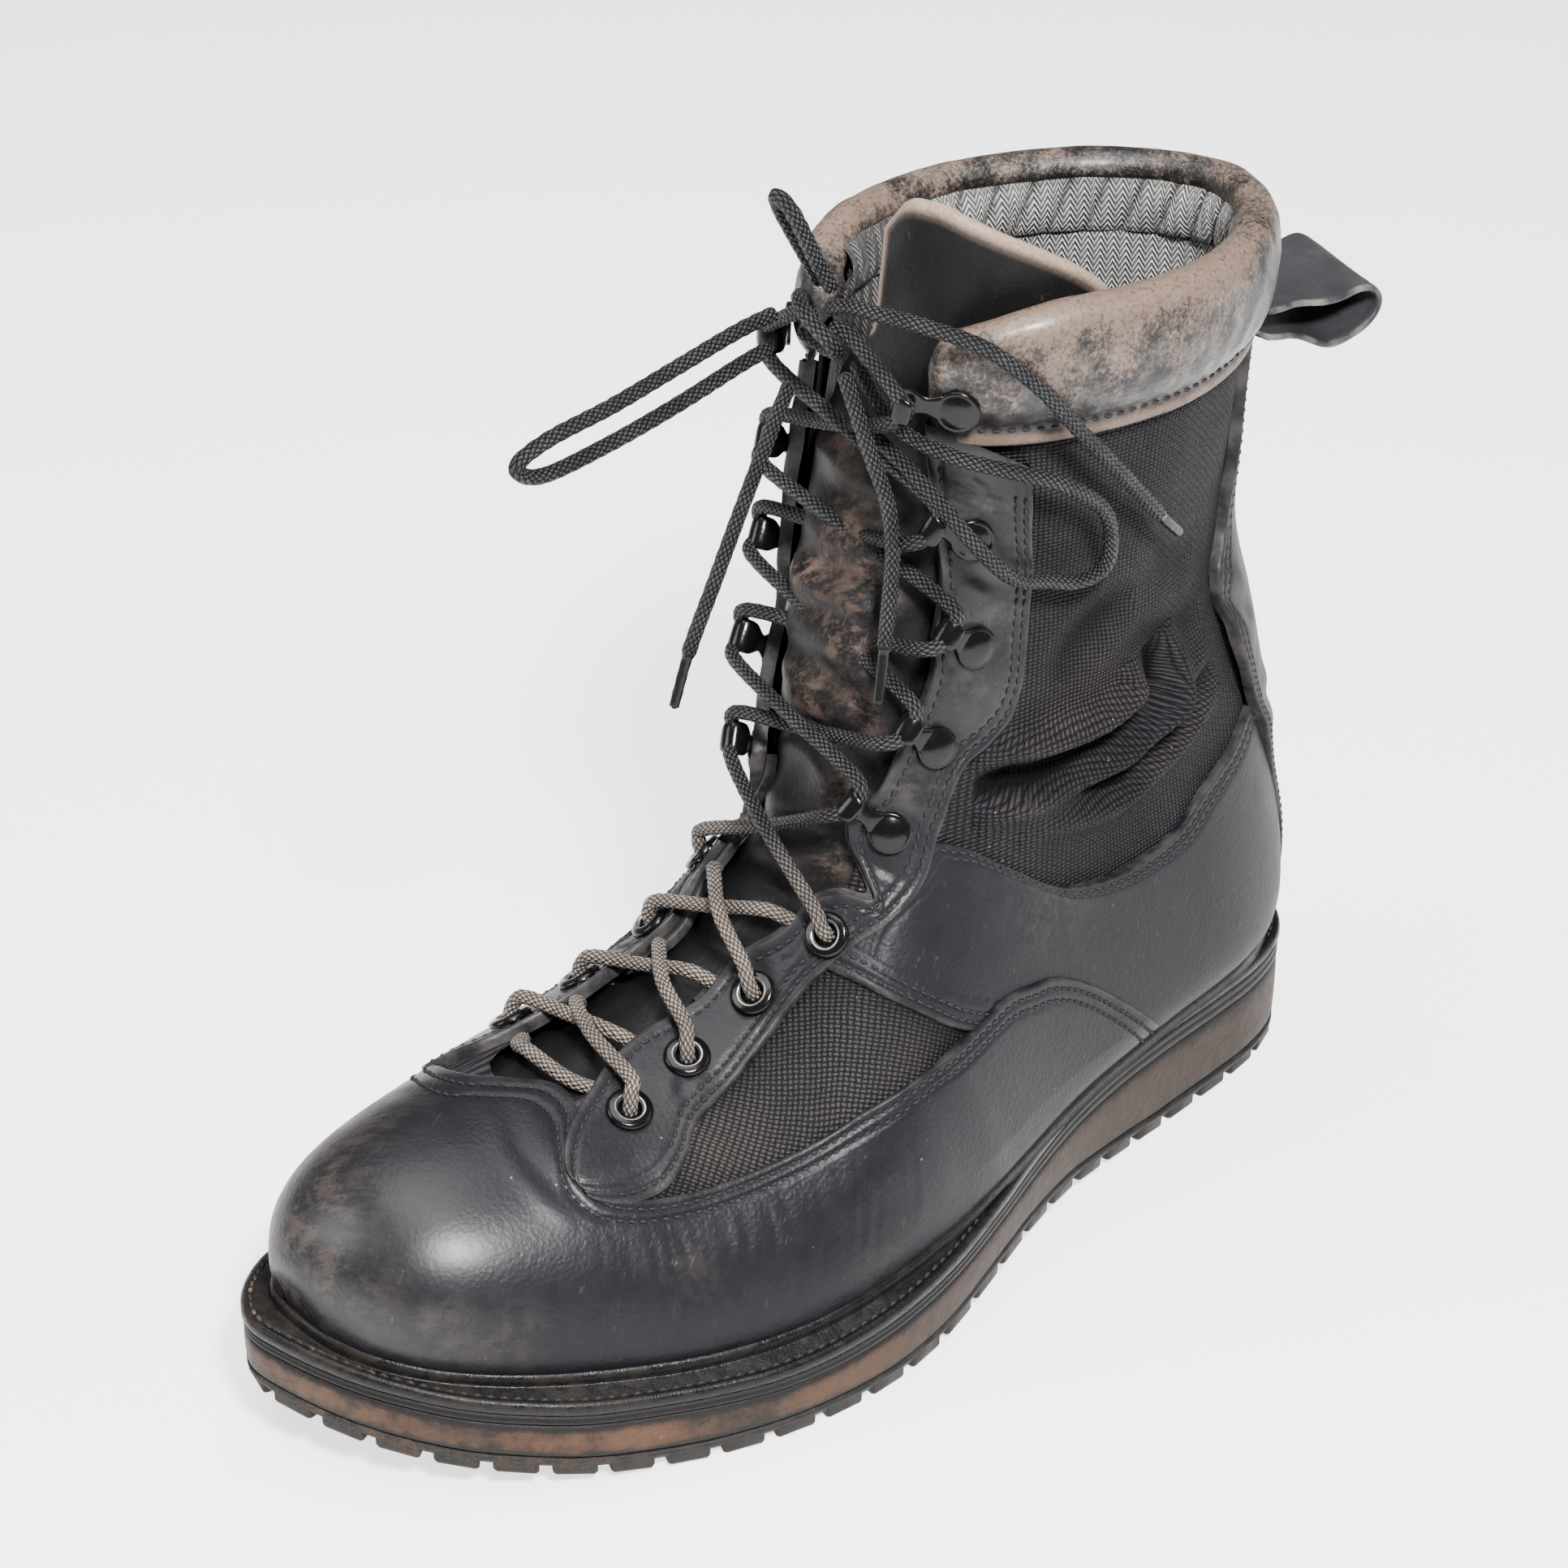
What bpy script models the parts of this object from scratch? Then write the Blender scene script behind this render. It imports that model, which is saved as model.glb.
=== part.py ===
"""Left lace-up work boot with a padded collar, speed hooks and a lugged sole, in metres.

Origin on the floor under the heel, +X to the toe, +Y to the outer side, +Z up.
The upper follows a last made of a fan of sections: upright across the toe, tilting back over
the instep and heel, and lying flat round the shaft. Lengths in the tables are millimetres.
"""
import bmesh
import bpy
import numpy as np

MM = 0.001
GAP = 0.3                # clearance between pieces that meet
WALL = 2.4               # leather and lining together
STAY = 1.8               # eyestay leather
STAY_GAP = 0.45          # under the overlays, which bridge the upper's facets
BACKSTAY = 1.5           # leather strip over the back seam
BACKSTAY_GAP = 0.6
TONGUE = 3.0             # padded tongue
WELT_LEDGE = 3.6         # from the upper's lower edge down to the welt's ledge
WELT_FOOT = 7.0          # from the upper's lower edge down to the welt's underside
RAND_LIP = 1.2           # how far the welt's raised lip stands outside the upper
SLAB = 1.9               # outsole web above its lugs
LUG = 3.2                # lug depth
LUG_PITCH = 14.0
LUG_GAP = 3.4
LUG_FIRST = -46.5        # rear edge of the row, cut off at the heel
LUG_EDGE = 1.2           # clear of the sole's two ends
INSOLE = 3.4
INSOLE_INSET = 3.3
TOP_EDGE = 241.5         # height of the upper's top edge under the collar roll
COLLAR_LOW = 217.0       # height of the collar's lower edge
LACE = 4.2               # lace diameter
EYELET_RADIUS = 5.7
EYELET_HOLE = 2.9
EYELET_HEIGHT = 1.3
HOOK_PLATE = 1.3
LOOP_WIDTH = 26.0        # pull loop webbing
LOOP_THICK = 2.2
THROAT_FRONT = 4.25      # section where the throat opens
DENSE = 121              # points along a section before it is measured
COLUMNS = 13             # points from the throat edge to the back seam

# One row per section: ridge point, base point, centre line, half widths, where the widest
# point sits between base and ridge, and how square it is above and below that.
SECTION_COLUMNS = ("top_x", "top_z", "base_x", "base_z", "centre", "lateral", "medial",
                   "belly", "crown", "bottom")
SECTIONS = np.array([
    (262.5, 42.0, 261.5, 31, -4.5, 0.0, 0.0, 0.40, 2.00, 2.20),    # toe tip
    (261.8, 52.5, 259.0, 29, -2.6, 13.7, 10.5, 0.44, 2.10, 2.10),
    (253.4, 63.0, 252.0, 27, -0.8, 28.0, 21.7, 0.44, 2.06, 2.20),
    (238.3, 71.0, 238.0, 25, 0.0, 38.5, 30.0, 0.36, 2.00, 3.20),   # toe box
    (211.0, 75.0, 214.0, 23, -0.8, 50.5, 39.0, 0.24, 1.90, 4.60),
    (178.0, 77.8, 184.0, 22, -2.5, 62.5, 46.0, 0.14, 1.75, 5.60),  # ball
    (147.0, 85.8, 152.0, 22, -3.0, 67.5, 47.0, 0.11, 1.85, 6.00),
    (132.0, 99.5, 118.0, 25, -0.5, 62.5, 39.5, 0.12, 2.30, 6.20),
    (123.4, 111.5, 86.0, 28, 1.8, 52.0, 34.5, 0.14, 2.55, 6.20),   # instep
    (117.5, 123.5, 54.0, 31, 2.5, 43.7, 33.0, 0.18, 2.75, 6.00),
    (115.2, 137.5, 20.0, 33, 1.6, 39.5, 34.3, 0.24, 2.95, 5.60),
    (114.0, 153.0, -14.5, 34, 0.5, 37.0, 35.0, 0.32, 3.00, 4.80),
    (111.0, 167.5, -36.5, 38, -0.8, 34.8, 34.0, 0.45, 3.00, 3.20),  # heel
    (107.5, 178.5, -43.0, 58, -2.0, 33.9, 33.8, 0.54, 2.95, 2.40),
    (103.7, 188.0, -41.8, 80, -3.0, 34.3, 34.8, 0.57, 2.87, 2.00),
    (100.5, 197.0, -38.3, 105, -3.4, 35.8, 37.0, 0.56, 2.74, 1.65),
    (98.5, 206.0, -33.0, 130, -3.2, 37.2, 38.7, 0.55, 2.65, 1.35),  # ankle
    (97.0, 215.6, -24.5, 156, -2.3, 38.9, 40.1, 0.53, 2.55, 1.35),
    (96.3, 228.0, -19.8, 192, -1.5, 40.2, 41.2, 0.52, 2.46, 1.60),
    (97.0, 246.0, -16.5, 246, 0.0, 42.2, 42.2, 0.50, 2.40, 1.75),   # collar
    (98.5, 268.0, -15.0, 268, 0.0, 43.0, 43.0, 0.50, 2.40, 1.75),
])
# Height of the upper's lower edge along the foot.
FEATHER = np.array([(-50, 38.2), (-6, 37.3), (30, 36.8), (64, 35.0), (99, 31.3), (135, 27.4),
                    (170, 24.8), (200, 26.0), (235, 31.0), (262, 37.8), (275, 41.5)])
# Sole outline: distance along the foot, outer side, inner side.
OUTLINE = np.array([
    (-41.5, -1, -1), (-40.5, 11, -12), (-37, 19, -20), (-29, 26, -26.5), (-16, 31, -30.5),
    (0, 34, -32.5), (20, 37, -33), (40, 40.5, -32.5), (60, 45.5, -32), (80, 52.5, -33),
    (100, 60.5, -36.5), (120, 67.5, -42.5), (140, 71.5, -47.5), (158, 72, -50),
    (175, 70, -50), (190, 66, -48.5), (205, 61, -46), (220, 55.5, -42.5),
    (232, 49, -38.5), (244, 41, -34.5), (254, 31.5, -29), (262, 21, -22.5),
    (268.5, 8, -14.5), (272, -4.5, -4.5)])
# Underside of the lugs: the heel and the ball stand on the floor, waist and toe are raised.
TREAD = np.array([(-50, 0), (-20, 0), (24, 0), (45, 2.0), (65, 4.6), (85, 5.4), (105, 4.0),
                  (125, 1.2), (143, 0), (192, 0), (208, 1.4), (225, 4.2), (245, 8.6),
                  (262, 13.2), (273, 16.6)])
# Black slip sole: depth of its underside below the upper's lower edge.
SLIP_FOOT = np.array([(-45, 12.6), (30, 12.4), (120, 10.6), (200, 9.8), (275, 9.8)])
# Throat edge: section, distance from the ridge on the outer side and on the inner side.
THROAT = np.array([
    (4.25, 0.0, 0.0), (4.35, 7.0, 6.5), (4.5, 11.0, 10.0), (4.8, 13.5, 12.0),
    (5.5, 12.5, 11.0), (6.3, 12.5, 10.5), (7.0, 17.0, 13.5), (8.0, 20.0, 17.0),
    (9.0, 20.0, 18.0), (10.0, 24.0, 22.0), (11.5, 31.5, 29.0), (12.5, 33.5, 31.5),
    (14.0, 31.5, 30.0), (15.5, 26.5, 26.0), (17.0, 21.5, 21.5), (19.0, 19.5, 19.5),
    (20.0, 19.5, 19.5)])
# Rear edge of the eyestay, distance from the ridge on the outer side.
STAY_REAR = np.array([
    (4.4, 30.0), (4.7, 37.5), (5.0, 40.0), (5.4, 35.5), (6.4, 31.0), (7.2, 32.5),
    (8.2, 35.5), (9.1, 40.0), (10.0, 42.5), (11.1, 48.0), (11.8, 57.0), (12.5, 62.0),
    (13.8, 59.0), (15.0, 55.0), (16.2, 50.0), (17.4, 45.0), (18.4, 43.0)])
# Backstay: half width along the back, widest over the ankle.
BACKSTAY_HALF = np.array([
    (12.2, 14.0), (12.8, 20.0), (13.4, 27.0), (14.1, 34.0), (14.8, 41.0), (15.3, 45.0),
    (16.0, 42.0), (16.8, 31.0), (17.8, 22.0), (18.5, 20.0), (20.0, 20.0)])
# Tongue: half width, how far its face lies below the upper's outer face, and how far its
# middle has slipped to the outer side.
TONGUE_ROWS = np.array([
    (3.95, 12.0, 3.3, 0), (4.3, 18.0, 3.3, 0), (5.0, 26.0, 3.9, 0), (6.5, 27.0, 3.9, 0),
    (8.0, 33.0, 3.3, 0), (10.0, 40.0, 3.3, 0), (12.0, 50.0, 3.3, 0), (14.0, 49.0, 3.3, 0),
    (16.0, 44.0, 3.8, 1.5), (17.0, 41.0, 5.8, 8.0), (17.8, 39.0, 7.2, 16.5), (19.0, 36.5, 7.6, 29.0),
    (19.8, 35.5, 7.6, 33.5)])
# Top edge of the tongue: share of the way across from the inner side, and section.
TONGUE_TOP = np.array([(-1.0, 19.75), (-0.6, 19.9), (-0.2, 19.8), (0.1, 19.65), (0.4, 19.45), (0.7, 19.15),
                       (1.0, 18.75)])
# Collar roll: height and how far it stands out from the upper's outer face.
COLLAR = np.array([
    (217.0, 0.3), (217.6, 2.4), (222.0, 4.6), (230.0, 5.8), (238.5, 5.6), (245.0, 4.3),
    (248.6, 1.6), (249.2, -1.4), (248.0, -4.2), (243.5, -6.1), (237.0, -6.0),
    (232.0, -4.6), (231.0, -2.75), (241.9, -2.75), (241.9, 0.3)])
# Fittings: section, distance from the ridge on the outer side and on the inner side.
EYELETS = ((4.83, 26.5, 22.0), (5.42, 23.7, 19.5), (6.2, 22.5, 18.0), (7.35, 27.5, 23.0))
HOOKS = ((9.5, 28.5, 25.5), (11.2, 38.5, 35.0), (13.2, 44.0, 40.5), (15.4, 35.5, 33.5))
TOP_HOOK = (18.05, 27.7, 27.0)
# Hook profile: forward, height, half width.
HOOK = np.array([
    (-5.1, 0.65, 1.4), (-4.2, 0.65, 3.2), (-2.3, 0.65, 4.7), (0.0, 0.65, 5.15),
    (2.5, 0.65, 4.5), (4.6, 0.7, 3.0), (7.6, 0.9, 2.4), (10.2, 1.1, 3.3), (12.5, 1.9, 3.9),
    (13.6, 3.8, 3.8), (12.6, 5.9, 3.5), (9.8, 6.6, 2.6)])
# Pull loop: centre line of the webbing seen from the side.
LOOP_PATH = np.array([
    (-21.2, 213.2), (-34, 212.4), (-46, 213.0), (-54.5, 213.4), (-59.8, 211.2), (-61.6, 207.4),
    (-59.0, 203.6), (-53, 201.6), (-44, 201.0), (-34, 203.4), (-21.8, 206.4)])
LOOP_TWIST = 3.4            # rise of the loop's inner edge at the fold
# Loose lace, each row a point: along the foot, across it, height.
LOOSE_LACE = {
    "lace_knot": ((103.5, -9, 240.5), (108, -7, 243), (111.5, -2, 243.5), (111.5, 3, 241),
                  (109.5, 6.5, 240.5)),
    "lace_loop_front": ((112.5, -12, 241), (124, -11, 240), (142, -10, 236.5),
                        (160, -9, 233), (178, -8, 230.5), (186.5, -8, 226.5),
                        (180, -8, 222.5), (162, -9, 224), (142, -10, 227.5),
                        (124, -11, 231.5), (114, -12, 233)),
    "lace_loop_upright": ((106, -3.5, 249.2), (111, -4, 258), (117, -4.5, 269),
                          (119.5, -2.5, 273.5), (117.5, 0.5, 270), (112, 1.0, 259),
                          (107, 1.5, 249.5)),
    "lace_end_front": ((114.5, -4, 227.5), (117.5, -5, 220), (121.5, -6, 210),
                       (127.5, -7, 196), (134, -7.5, 181.5), (141, -8, 166),
                       (146, -8, 152)),
    "lace_end_low": ((109.5, 8.5, 233), (108.5, 11.0, 226), (106.6, 15.0, 214), (105.0, 19.2, 203),
                     (104.8, 21.0, 191), (107.0, 22.5, 179), (110.0, 24.5, 167),
                     (113, 26.5, 156.5)),
}
# Loose lace lying on the boot, each row: section, distance from the ridge (inner side
# negative), height above the upper.
RESTING_LACE = {
    "lace_loop_side": ((18.4, 7, 9), (17.9, 10, 6.5), (17.45, 16, 6.5), (17.32, 22, 7.5),
                       (17.32, 30, 8.5), (17.35, 40, 8.5), (17.32, 52, 8), (17.05, 64, 6.5),
                       (16.5, 70.5, 5.5), (15.9, 71.5, 5), (15.45, 65, 5), (15.25, 56, 5.5),
                       (15.1, 47, 8.5), (15.3, 39.5, 11.5), (15.8, 32.5, 11.5), (16.3, 26, 9),
                       (16.7, 19, 7), (17.0, 12, 6), (17.4, 5, 5.5)),
    "lace_end_side": ((18.95, 0, 10), (19.1, 6, 10), (19.15, 14, 10.5), (19.1, 23, 10),
                      (18.9, 33, 9.5), (18.5, 43, 9), (18.1, 52, 8.5), (17.7, 63, 8),
                      (17.35, 74, 6), (17.05, 85, 5), (16.85, 94, 4.5)),
}
COLOURS = {
    "outsole": (0.018, 0.018, 0.019), "midsole": (0.16, 0.085, 0.05),
    "slip_sole": (0.02, 0.02, 0.02), "welt": (0.025, 0.023, 0.022),
    "insole": (0.16, 0.15, 0.14), "upper": (0.035, 0.035, 0.038),
    "collar": (0.21, 0.16, 0.13), "tongue": (0.03, 0.028, 0.028),
    "eyestay": (0.035, 0.035, 0.038), "backstay": (0.032, 0.032, 0.035),
    "pull_loop": (0.03, 0.03, 0.033), "eyelet": (0.05, 0.05, 0.055),
    "hook": (0.02, 0.02, 0.02), "lace": (0.03, 0.028, 0.027),
}
METALS = ("eyelet", "hook")


def spline(rows, s):
    """Catmull-Rom curve through the rows, one row per unit of s."""
    s = np.clip(np.asarray(s, float), 0, len(rows) - 1)
    low = np.minimum(s.astype(int), len(rows) - 2)
    u = (s - low)[..., None]
    pad = np.vstack([2 * rows[0] - rows[1], rows, 2 * rows[-1] - rows[-2]])
    a, b, c, d = pad[low], pad[low + 1], pad[low + 2], pad[low + 3]
    return 0.5 * (2 * b + (c - a) * u + (2 * a - 5 * b + 4 * c - d) * u ** 2
                  + (3 * b - a - 3 * c + d) * u ** 3)


def smooth(table, x, column=1):
    """Smooth curve through a table's column against its first column."""
    xs, ys = table[:, 0], table[:, column]
    slope = np.gradient(ys, xs)
    x = np.clip(np.asarray(x, float), xs[0], xs[-1])
    i = np.clip(np.searchsorted(xs, x) - 1, 0, len(xs) - 2)
    h = xs[i + 1] - xs[i]
    u = (x - xs[i]) / h
    return ((2 * u ** 3 - 3 * u ** 2 + 1) * ys[i] + (u ** 3 - 2 * u ** 2 + u) * h * slope[i]
            + (3 * u ** 2 - 2 * u ** 3) * ys[i + 1] + (u ** 3 - u ** 2) * h * slope[i + 1])


def straight(table, x, column=1):
    """Straight-line interpolation in a table's column against its first column."""
    return np.interp(x, table[:, 0], table[:, column])


def feather(x):
    """Height of the upper's lower edge at a distance along the foot."""
    return smooth(FEATHER, x)


def tread(x):
    """Height of the lugs' underside along the foot."""
    return np.maximum(smooth(TREAD, x), 0.0)


def columns():
    """Shares of the way from throat edge to back seam, closer together at both ends."""
    even = np.linspace(0, 1, COLUMNS)
    return 0.6 * even + 0.4 * (0.5 - 0.5 * np.cos(np.pi * even))


def upper_rows():
    """Sections of the upper's rows, closer together at the throat's front and at the heel."""
    heel = heel_section()
    return np.concatenate([[0.0, 0.5, 1.0, 1.5, 2.1, 2.8, 3.5, THROAT_FRONT, 4.35, 4.5, 4.8],
                           np.linspace(5.4, 10.4, 9), heel - np.array([1.15, 0.75, 0.4, 0.15, 0.03]),
                           [heel], np.linspace(12.7, 18.3, 9)])


def section(s, side):
    """Dense outline of the last's section s on one side, from the ridge to the base."""
    row = spline(SECTIONS, s)
    get = {name: row[..., k][..., None] for k, name in enumerate(SECTION_COLUMNS)}
    turn = np.linspace(0, np.pi, DENSE)
    square = np.where(turn <= np.pi / 2, get["crown"], get["bottom"])
    rise = np.abs(np.cos(turn)) ** (2 / square)
    share = np.where(turn <= np.pi / 2, get["belly"] + (1 - get["belly"]) * rise,
                     get["belly"] * (1 - rise))
    half = np.maximum(get["lateral"] if side > 0 else get["medial"], 0)
    x = get["base_x"] + (get["top_x"] - get["base_x"]) * share
    y = get["centre"] + side * half * np.abs(np.sin(turn)) ** (2 / square)
    z = get["base_z"] + (get["top_z"] - get["base_z"]) * share
    return np.stack([x, y, z], -1)


def measured(s, side):
    """A section's outline, its running length, and the length that lies above the feather."""
    line = section(s, side)
    step = np.linalg.norm(np.diff(line, axis=-2), axis=-1)
    run = np.concatenate([np.zeros(step.shape[:-1] + (1,)), np.cumsum(step, -1)], -1)
    above = line[..., 2] - feather(line[..., 0])
    reach = np.array(run[..., -1])
    flat_above = above.reshape(-1, DENSE)
    flat_run = run.reshape(-1, DENSE)
    flat_reach = reach.reshape(-1)
    for k in range(len(flat_reach)):
        under = np.where(flat_above[k] < 0)[0]
        if len(under) and under[0] > 0:
            j = under[0]
            part = flat_above[k, j - 1] / (flat_above[k, j - 1] - flat_above[k, j])
            flat_reach[k] = flat_run[k, j - 1] + part * (flat_run[k, j] - flat_run[k, j - 1])
    return line, run, flat_reach.reshape(reach.shape)


def surface(s, distance, side):
    """Points of the last at a distance from the ridge along section s."""
    s, distance = np.broadcast_arrays(np.asarray(s, float), np.asarray(distance, float))
    line, run, _ = measured(s.ravel(), side)
    out = np.empty((s.size, 3))
    for k, d in enumerate(distance.ravel()):
        for axis in range(3):
            out[k, axis] = np.interp(d, run[k], line[k, :, axis])
    return out.reshape(s.shape + (3,))


def reach_of(s, side):
    """Length of section s from the ridge down to the feather or the back seam."""
    s = np.asarray(s, float)
    return measured(s.ravel(), side)[2].reshape(s.shape)


def normal(s, distance, side):
    """Outward normal of the last."""
    s, distance = np.broadcast_arrays(np.asarray(s, float), np.asarray(distance, float))
    ds, dd = 0.06, 1.0
    along = surface(s + ds, distance, side) - surface(s - ds, distance, side)
    down = surface(s, distance + dd, side) - surface(s, np.maximum(distance - dd, 0), side)
    n = np.cross(down, along) * side
    return n / np.linalg.norm(n, axis=-1, keepdims=True)


def stand(s, distance, side, height):
    """Point of the last raised along its normal."""
    height = np.asarray(height, float)
    return surface(s, distance, side) + normal(s, distance, side) * height[..., None]


def level_section(height, share, side, low=13.0):
    """Section whose point at a share of the way from throat edge to back seam has this height."""
    tries = np.linspace(low, len(SECTIONS) - 1.0, 141)
    gap = straight(THROAT, tries, 1 if side > 0 else 2)
    distance = gap + (reach_of(tries, side) - gap) * share
    z = surface(tries, distance, side)[:, 2]
    return float(np.interp(height, z, tries)), float(np.interp(height, z, distance))


def heel_section():
    """Section whose base lies exactly on the feather."""
    tries = np.linspace(11.0, 13.0, 401)
    row = spline(SECTIONS, tries)
    above = row[:, 3] - feather(row[:, 2])
    return float(tries[np.argmax(above > 0)])


def vertex_normals(verts, faces):
    """Area-weighted normals of a faceted surface."""
    out = np.zeros_like(verts)
    for face in faces:
        p = verts[list(face)]
        n = np.cross(p[2] - p[0], p[-1] - p[1]) if len(face) == 4 else np.cross(p[1] - p[0], p[2] - p[0])
        for k in face:
            out[k] += n
    return out / np.linalg.norm(out, axis=1, keepdims=True)


def thicken(verts, faces, amount, outward=True, normals=None):
    """Closed solid between a sheet and its offset, with its open edges joined."""
    verts = np.asarray(verts, float)
    if normals is None:
        normals = vertex_normals(verts, faces)
    other = verts + normals * (amount if outward else -amount)
    count = len(verts)
    sides = {}
    for face in faces:
        for a, b in zip(face, face[1:] + face[:1]):
            if (b, a) in sides:
                del sides[(b, a)]
            else:
                sides[(a, b)] = True
    solid = [tuple(face) for face in faces] + [tuple(count + k for k in reversed(face)) for face in faces]
    solid += [(b, a, count + a, count + b) for a, b in sides]
    return np.vstack([verts, other]), solid


def grid_faces(rows, columns, flip=False):
    """Quads of a grid of points stored row by row."""
    faces = []
    for i in range(rows - 1):
        for j in range(columns - 1):
            a = i * columns + j
            quad = (a, a + 1, a + columns + 1, a + columns)
            faces.append(quad[::-1] if flip else quad)
    return faces


def make(name, verts, faces, kind):
    """Mesh object with its own material, faces turned outward."""
    mesh = bpy.data.meshes.new(name)
    mesh.from_pydata([tuple(float(v) * MM for v in p) for p in verts], [], [tuple(map(int, f)) for f in faces])
    bm = bmesh.new()
    bm.from_mesh(mesh)
    bmesh.ops.recalc_face_normals(bm, faces=bm.faces[:])
    bm.to_mesh(mesh)
    bm.free()
    obj = bpy.data.objects.new(name, mesh)
    bpy.context.scene.collection.objects.link(obj)
    paint(obj, name, kind)
    return obj


def paint(obj, name, kind):
    """Principled material of the piece's own."""
    material = bpy.data.materials.new(name + "_material")
    material.use_nodes = True
    shader = material.node_tree.nodes["Principled BSDF"]
    shader.inputs["Base Color"].default_value = COLOURS[kind] + (1.0,)
    shader.inputs["Roughness"].default_value = 0.35 if kind in METALS else 0.6
    shader.inputs["Metallic"].default_value = 0.8 if kind in METALS else 0.0
    obj.data.materials.append(material)


def plan_normals(loop):
    """Outward plan normals of a closed loop that runs heel, outer side, toe, inner side."""
    tangent = np.roll(loop, -1, 0) - np.roll(loop, 1, 0)
    n = np.stack([-tangent[:, 1], tangent[:, 0]], 1)
    return n / np.linalg.norm(n, axis=1, keepdims=True)


def widen(loop, amount):
    """Loop moved outward in plan."""
    out = np.array(loop)
    out[:, :2] += plan_normals(loop[:, :2]) * amount
    return out


def sole_loop(steps=2):
    """Closed sole outline in plan, paired left and right by index."""
    around = np.vstack([OUTLINE[:, [0, 1]], OUTLINE[-2:0:-1, [0, 2]]])
    count = len(around)
    at = np.arange(count * steps) / steps
    low = at.astype(int)
    u = (at - low)[:, None]
    a, b, c, d = (around[(low + k) % count] for k in (-1, 0, 1, 2))
    return 0.5 * (2 * b + (c - a) * u + (2 * a - 5 * b + 4 * c - d) * u ** 2
                  + (3 * b - a - 3 * c + d) * u ** 3)


def feather_loop(stations):
    """Lower edge of the upper in plan, at the same stations as the sole's outline."""
    s = np.concatenate([np.linspace(0.0, 11.0, 160), np.linspace(11.0, heel_section(), 240)[1:]])
    edge = {}
    for side in (1, -1):
        edge[side] = surface(s, reach_of(s, side), side)
    front, back = edge[1][0, 0], edge[1][-1, 0]
    x = back + (stations - stations.min()) / (stations.max() - stations.min()) * (front - back)
    half = len(stations) // 2
    y = np.empty_like(x)
    for k in range(len(x)):
        line = edge[1 if k <= half else -1]
        y[k] = np.interp(x[k], line[::-1, 0], line[::-1, 1])
    return np.stack([x, y], 1)


def with_height(loop, height):
    """Plan loop with heights."""
    return np.column_stack([loop[:, :2], height])


def plate(name, loops, kind):
    """Solid lofted through closed loops, bottom first, its ends closed across the foot."""
    count = len(loops[0])
    half = count // 2
    verts = np.vstack(loops)
    faces = []
    for level in range(len(loops) - 1):
        for k in range(count):
            n = (k + 1) % count
            faces.append((level * count + k, level * count + n, (level + 1) * count + n, (level + 1) * count + k))
    for base in (0, (len(loops) - 1) * count):
        faces.append((base, base + 1, base + count - 1))
        for k in range(1, half - 1):
            faces.append((base + k, base + k + 1, base + count - k - 1, base + count - k))
        faces.append((base + half - 1, base + half, base + half + 1))
    return make(name, verts, faces, kind)


def build_outsole():
    """Web with three rows of lugs, the side rows running out to the edge."""
    around = sole_loop(8)
    half = len(around) // 2
    outer, inner = around[:half + 1], around[:half - 1:-1]
    inner = np.vstack([around[:1], inner])
    start, end = OUTLINE[0, 0], OUTLINE[-1, 0]
    stations = [start]
    lug_start = []
    x = LUG_FIRST
    while x + LUG_PITCH - LUG_GAP < end - LUG_EDGE:
        lug_start.append(len(stations))
        stations += [max(x, start + LUG_EDGE), x + LUG_PITCH - LUG_GAP]
        x += LUG_PITCH
    stations.append(end)
    across = (0.0, 0.2, 0.235, 0.765, 0.8, 1.0)
    rows, columns = len(stations), len(across)
    verts, index = [], {}

    def vertex(i, j, level):
        tip = i in (0, rows - 1)
        key = (i, 0 if tip else j, level)
        if key not in index:
            xs = stations[i]
            left = np.interp(xs, outer[:, 0], outer[:, 1])
            right = np.interp(xs, inner[:, 0], inner[:, 1])
            if tip:
                left = right = 0.5 * (left + right)
            base = float(tread(xs))
            z = {"top": base + LUG + SLAB, "web": base + LUG, "low": base}[level]
            index[key] = len(verts)
            verts.append((xs, left + (right - left) * across[j], z))
        return index[key]

    faces = []

    def quad(*corners):
        flat = []
        for corner in corners:
            if corner not in flat:
                flat.append(corner)
        if len(flat) > 2:
            faces.append(tuple(flat))

    def is_lug(i, j):
        return i in lug_start and j in (0, 2, 4)

    for i in range(rows - 1):
        for j in range(columns - 1):
            level = "low" if is_lug(i, j) else "web"
            corners = [(i, j), (i + 1, j), (i + 1, j + 1), (i, j + 1)]
            quad(*[vertex(a, b, "top") for a, b in corners])
            quad(*[vertex(a, b, level) for a, b in corners])
            if is_lug(i, j):
                for (a, b), (c, d) in zip(corners, corners[1:] + corners[:1]):
                    quad(vertex(a, b, "web"), vertex(c, d, "web"), vertex(c, d, "low"), vertex(a, b, "low"))
        for j in (0, columns - 1):
            quad(vertex(i, j, "web"), vertex(i + 1, j, "web"), vertex(i + 1, j, "top"), vertex(i, j, "top"))
    make("outsole", verts, faces, "outsole")


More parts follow.
